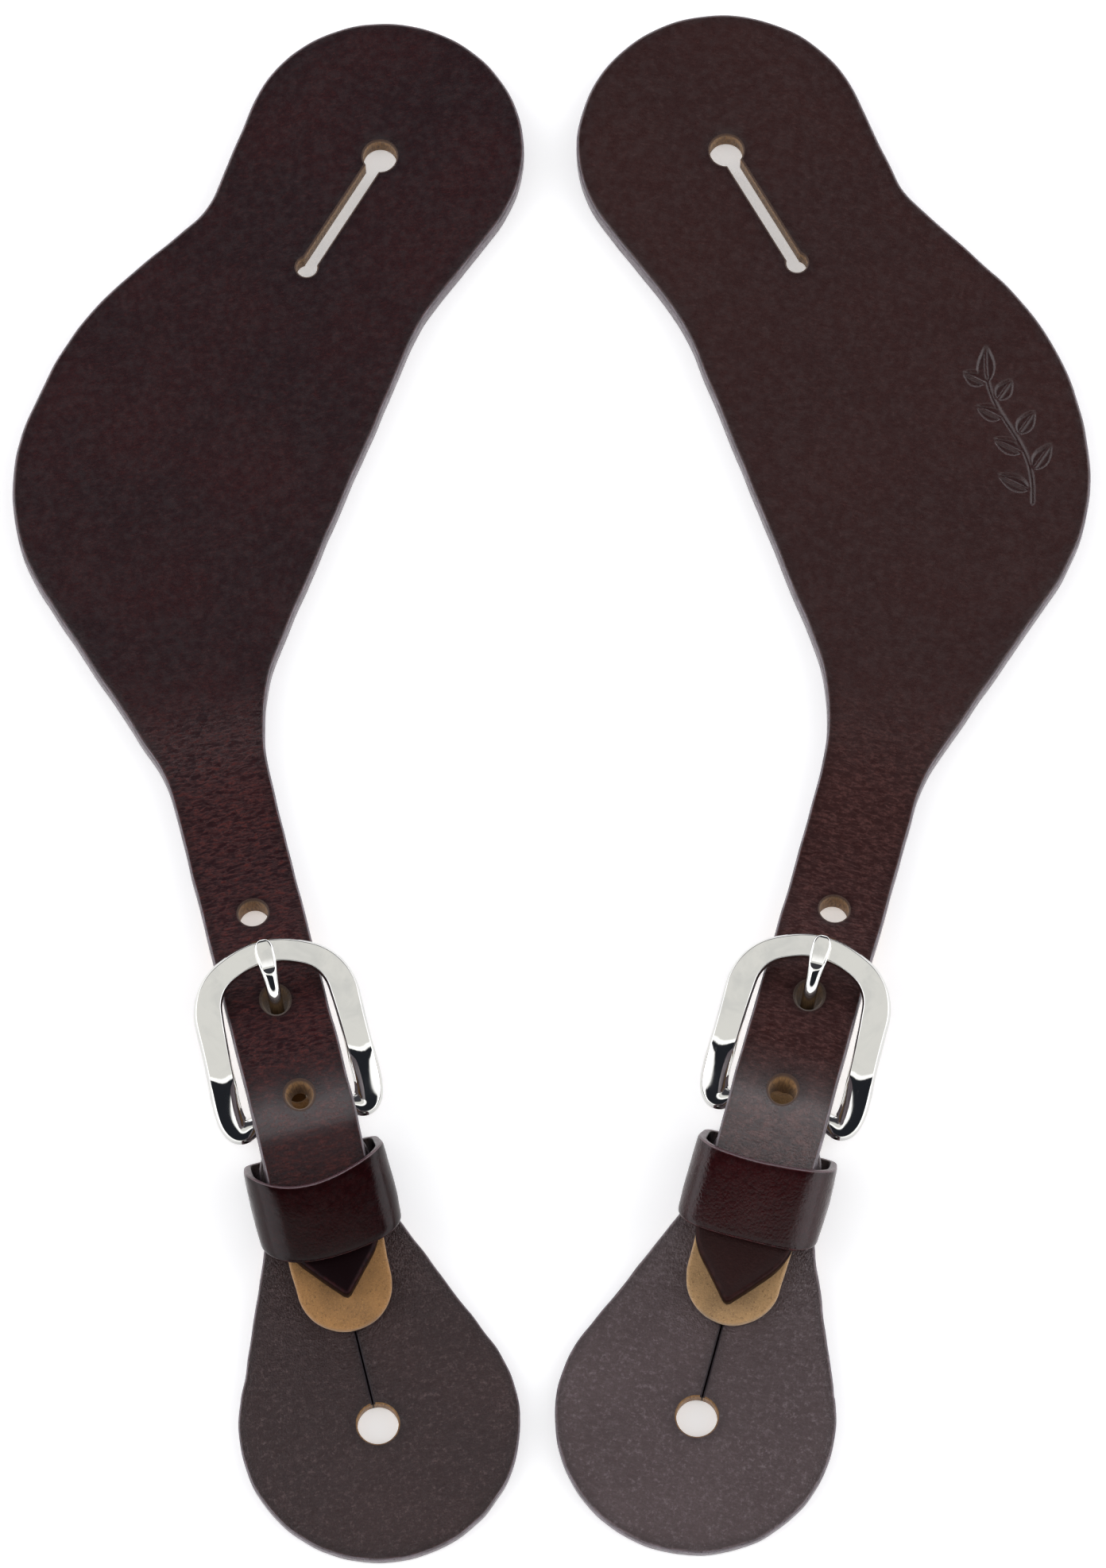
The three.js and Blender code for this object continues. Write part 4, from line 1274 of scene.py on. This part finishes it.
def keeper_loop():
    """The outer line of the loop in (x, z), open at its butt joint under the strap."""
    half, low, high = KEEPER_HALF_WIDTH, 2.2, 5.0
    arcs = belt_arcs([
        (half - low, low, low),
        (half - high, KEEPER_HEIGHT - high, high),
        (-half + high, KEEPER_HEIGHT - high, high),
        (-half + low, low, low),
    ], 0.3)
    line = np.concatenate([[(0.12, 0.0)], *arcs, [(-0.12, 0.0)]])
    line = resample(line, 260)
    crown = 0.55 * np.cos(np.clip(line[:, 0] / half, -1, 1) * math.pi / 2)
    line[:, 1] += crown * smoothstep(line[:, 1], 8.0, 13.0)
    return smoothed(line, 10)


def keeper_section():
    """The band cut across, as (share of its width, depth below its face, material)."""
    rounding = 0.42
    back = KEEPER_THICKNESS + 0.15
    turns = np.radians((90, 60, 30, 0))
    rows = [(rounding * (1 - math.cos(a)) / KEEPER_WIDTH, rounding * (1 - math.sin(a))) for a in turns]
    near = rows[::-1]
    face = [(s, 0.0) for s in np.linspace(near[-1][0], 1 - near[-1][0], 16)[1:-1]]
    far = [(1 - s, d) for s, d in rows]
    inner_far = [(1 - s * 0.6, back - d * 0.6) for s, d in rows[::-1]]
    inner_near = [(s * 0.6, back - d * 0.6) for s, d in rows]
    inner = [(s, back) for s in np.linspace(1, 0, 14)[1:-1]]
    points = near + face + far + inner_far + inner + inner_near
    kinds = [GRAIN if d < 0.14 else (RAW if d > back - 0.12 else EDGE) for _, d in points]
    return np.array(points), kinds


def keeper(strap, materials):
    line = keeper_loop()
    tangent = np.gradient(line, axis=0)
    tangent /= np.linalg.norm(tangent, axis=1)[:, None]
    inward = np.stack([-tangent[:, 1], tangent[:, 0]], 1)
    section, section_kinds = keeper_section()
    share, depth = section.T
    back = KEEPER_WIDTH * share
    run = np.concatenate([[0.0], np.cumsum(np.linalg.norm(np.diff(line, axis=0), axis=1))])
    rings, rests = [], []
    for place, into, along in zip(line, inward, run):
        on_wall = smoothstep(place[1], 2.0, 6.0)
        wobble = 0.05 * ripple(np.full(len(section), along), back, 9.0, strap.seed + 7)
        waist = 0.22 * (1 - (2 * share - 1) ** 2) * on_wall
        outward = 0.2 * (depth < 0.6) * on_wall
        moved = depth + wobble * (depth < 0.5) * (place[1] > 1.0) - waist - outward
        at = place + np.outer(moved, into)
        rings.append(lean_keeper(strap, at[:, 0], share, at[:, 1]))
        rests.append(np.column_stack([np.full(len(section), along), back, 0.6 - depth]))
    points, faces = loft(rings, closed=False)
    kinds = section_kinds * (len(rings) - 1)
    kinds += [EDGE] * (len(faces) - len(kinds))
    near_edge = np.minimum(share, 1 - share) * KEEPER_WIDTH
    margin = np.tile(np.exp(-((near_edge / 0.9) ** 2)), len(rings))
    corner = np.tile((near_edge < 0.3) & (depth < 0.3), len(rings)).astype(float)
    piece = strap.piece(
        "keeper_leather", points, faces,
        [materials[kind] for kind in ("keeper", "keeper_edge", "lining")],
        kinds, np.concatenate([*rests, rests[0][:1], rests[-1][:1]]),
        margin=np.append(margin, (1.0, 1.0)),
        corner=np.append(corner, (0.0, 0.0)),
        flex=np.full(len(points), 0.35),
    )
    strap.finish_piece(piece, "keeper_body", "keeper_leather", "keeper")


STAPLE_HALF_LENGTH = 3.7
STAPLE_RADIUS = 0.28


def keeper_staple(strap, materials):
    """A wire staple across the butt joint: its back sunk in the inner face, its legs through."""
    low, high = (np.array(corner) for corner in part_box(f"{strap.name}_keeper_staple"))
    middle_z = high[2] / MM - 0.3
    y = float(((low + high) / 2 - strap.origin) @ strap.along) / MM
    half = STAPLE_HALF_LENGTH
    leg = [(-half, y, 0.2), (-half, y, middle_z - 0.2), (-half + 0.25, y, middle_z)]
    route = leg + [(-x, y, z) for x, y, z in leg[::-1]]
    route = smoothed(resample(np.array(route), 90), 3)
    sides, ups = frames_along(route, (0.0, 1.0, 0.0))
    rings = [ring_of(*at, STAPLE_RADIUS, STAPLE_RADIUS, 12) for at in zip(route, sides, ups)]
    points, faces = loft(rings, closed=False)
    piece = strap.piece("staple", points, faces, [materials["wire"]])
    strap.finish_piece(piece, "keeper_body", "staple_wire", "keeper_staple")


# ---- Studio -------------------------------------------------------------------------------------

CAMERA_ELEVATION = math.radians(70.0)
CAMERA_DISTANCE = 1.3
CAMERA_TARGET = Vector((0.000266, -0.004129, 0.0))
LENS = 160.5


def camera():
    data = bpy.data.cameras.new("camera")
    data.lens = LENS
    data.sensor_width = 36.0
    data.clip_start, data.clip_end = 0.05, 20.0
    made = bpy.data.objects.new("camera", data)
    bpy.context.scene.collection.objects.link(made)
    back = Vector((0.0, -math.cos(CAMERA_ELEVATION), math.sin(CAMERA_ELEVATION)))
    made.location = CAMERA_TARGET + back * CAMERA_DISTANCE
    made.rotation_mode = "QUATERNION"
    made.rotation_quaternion = (-back).to_track_quat("-Z", "Y")
    bpy.context.scene.camera = made


FLOOR_GLOW = 0.34                      # the sheet lies on a light table


def floor():
    """A plain pale sheet that the straps lie on."""
    mesh = bpy.data.meshes.new("floor")
    reach, height = 3.0, -0.00005
    corners = [(-reach, -reach, height), (reach, -reach, height), (reach, reach, height)]
    mesh.from_pydata(corners + [(-reach, reach, height)], [], [(0, 1, 2, 3)])
    paper = Finish("floor_paper")
    paper.surface(Base_Color=(0.97, 0.97, 0.97), Roughness=0.9, Specular_IOR_Level=0.1)
    paper.surface(Emission_Color=(1.0, 1.0, 1.0), Emission_Strength=FLOOR_GLOW)
    mesh.materials.append(paper.material)
    made = bpy.data.objects.new("floor", mesh)
    bpy.context.scene.collection.objects.link(made)


OVERHEAD = (0.98, 0.975, 0.95)         # radiance of the silk straight above
WALLS = (2.55, 2.55, 2.64)
DARK_ROOM = (0.020, 0.022, 0.028)      # behind the photographer
FLAG = (0.06, 0.06, 0.07)              # a dark card above the far side, which tames the glare
STRIP = (1.6, 1.6, 1.6)                # a lamp at the dark room's upper edge


def room():
    """A tent of white silk with two dark openings: a card over its far side, which the leather
    mirrors, and the room behind the camera, which the buckle's heels mirror."""
    world = bpy.data.worlds.new("room")
    bpy.context.scene.world = world
    world.use_nodes = True
    nodes = Nodes(world.node_tree)
    heading = nodes.node("ShaderNodeSeparateXYZ")
    nodes.put(heading.inputs[0], nodes.node("ShaderNodeTexCoord").outputs["Generated"])
    y, z = heading.outputs["Y"], heading.outputs["Z"]
    beside = nodes.maths("ABSOLUTE", heading.outputs["X"], 0.0)

    def patch(*ranges):
        """A soft-edged part of the sky: each range is (value, where it starts, where it is full)."""
        total = nodes.spread(*ranges[0])
        for one in ranges[1:]:
            total = nodes.maths("MULTIPLY", total, nodes.spread(*one))
        return total

    tent = nodes.blend(WALLS, OVERHEAD, patch((z, 0.80, 0.93)))
    card = patch((y, 0.07, 0.20), (z, 0.34, 0.50), (beside, 0.80, 0.62))
    tent = nodes.blend(tent, FLAG, card)
    strip = patch((y, -0.13, -0.19), (beside, 0.80, 0.64))
    tent = nodes.blend(tent, STRIP, strip)
    opening = patch((y, -0.28, -0.34), (z, 0.40, 0.56), (beside, 0.80, 0.64))
    tent = nodes.blend(tent, DARK_ROOM, opening)
    nodes.put(world.node_tree.nodes["Background"].inputs["Color"], tent)


def studio():
    camera()
    floor()
    room()
    bpy.context.scene.view_settings.view_transform = "Standard"


# ---- The pair -----------------------------------------------------------------------------------

studio()
for side_facts in SIDES:
    one_strap = Strap(side_facts)
    strap_materials = make_materials(one_strap.name)
    boot_strap(one_strap, strap_materials)
    button_strap(one_strap, strap_materials)
    stitches(one_strap, strap_materials)
    buckle_frame(one_strap, strap_materials)
    buckle_tongue(one_strap, strap_materials)
    keeper(one_strap, strap_materials)
    keeper_staple(one_strap, strap_materials)
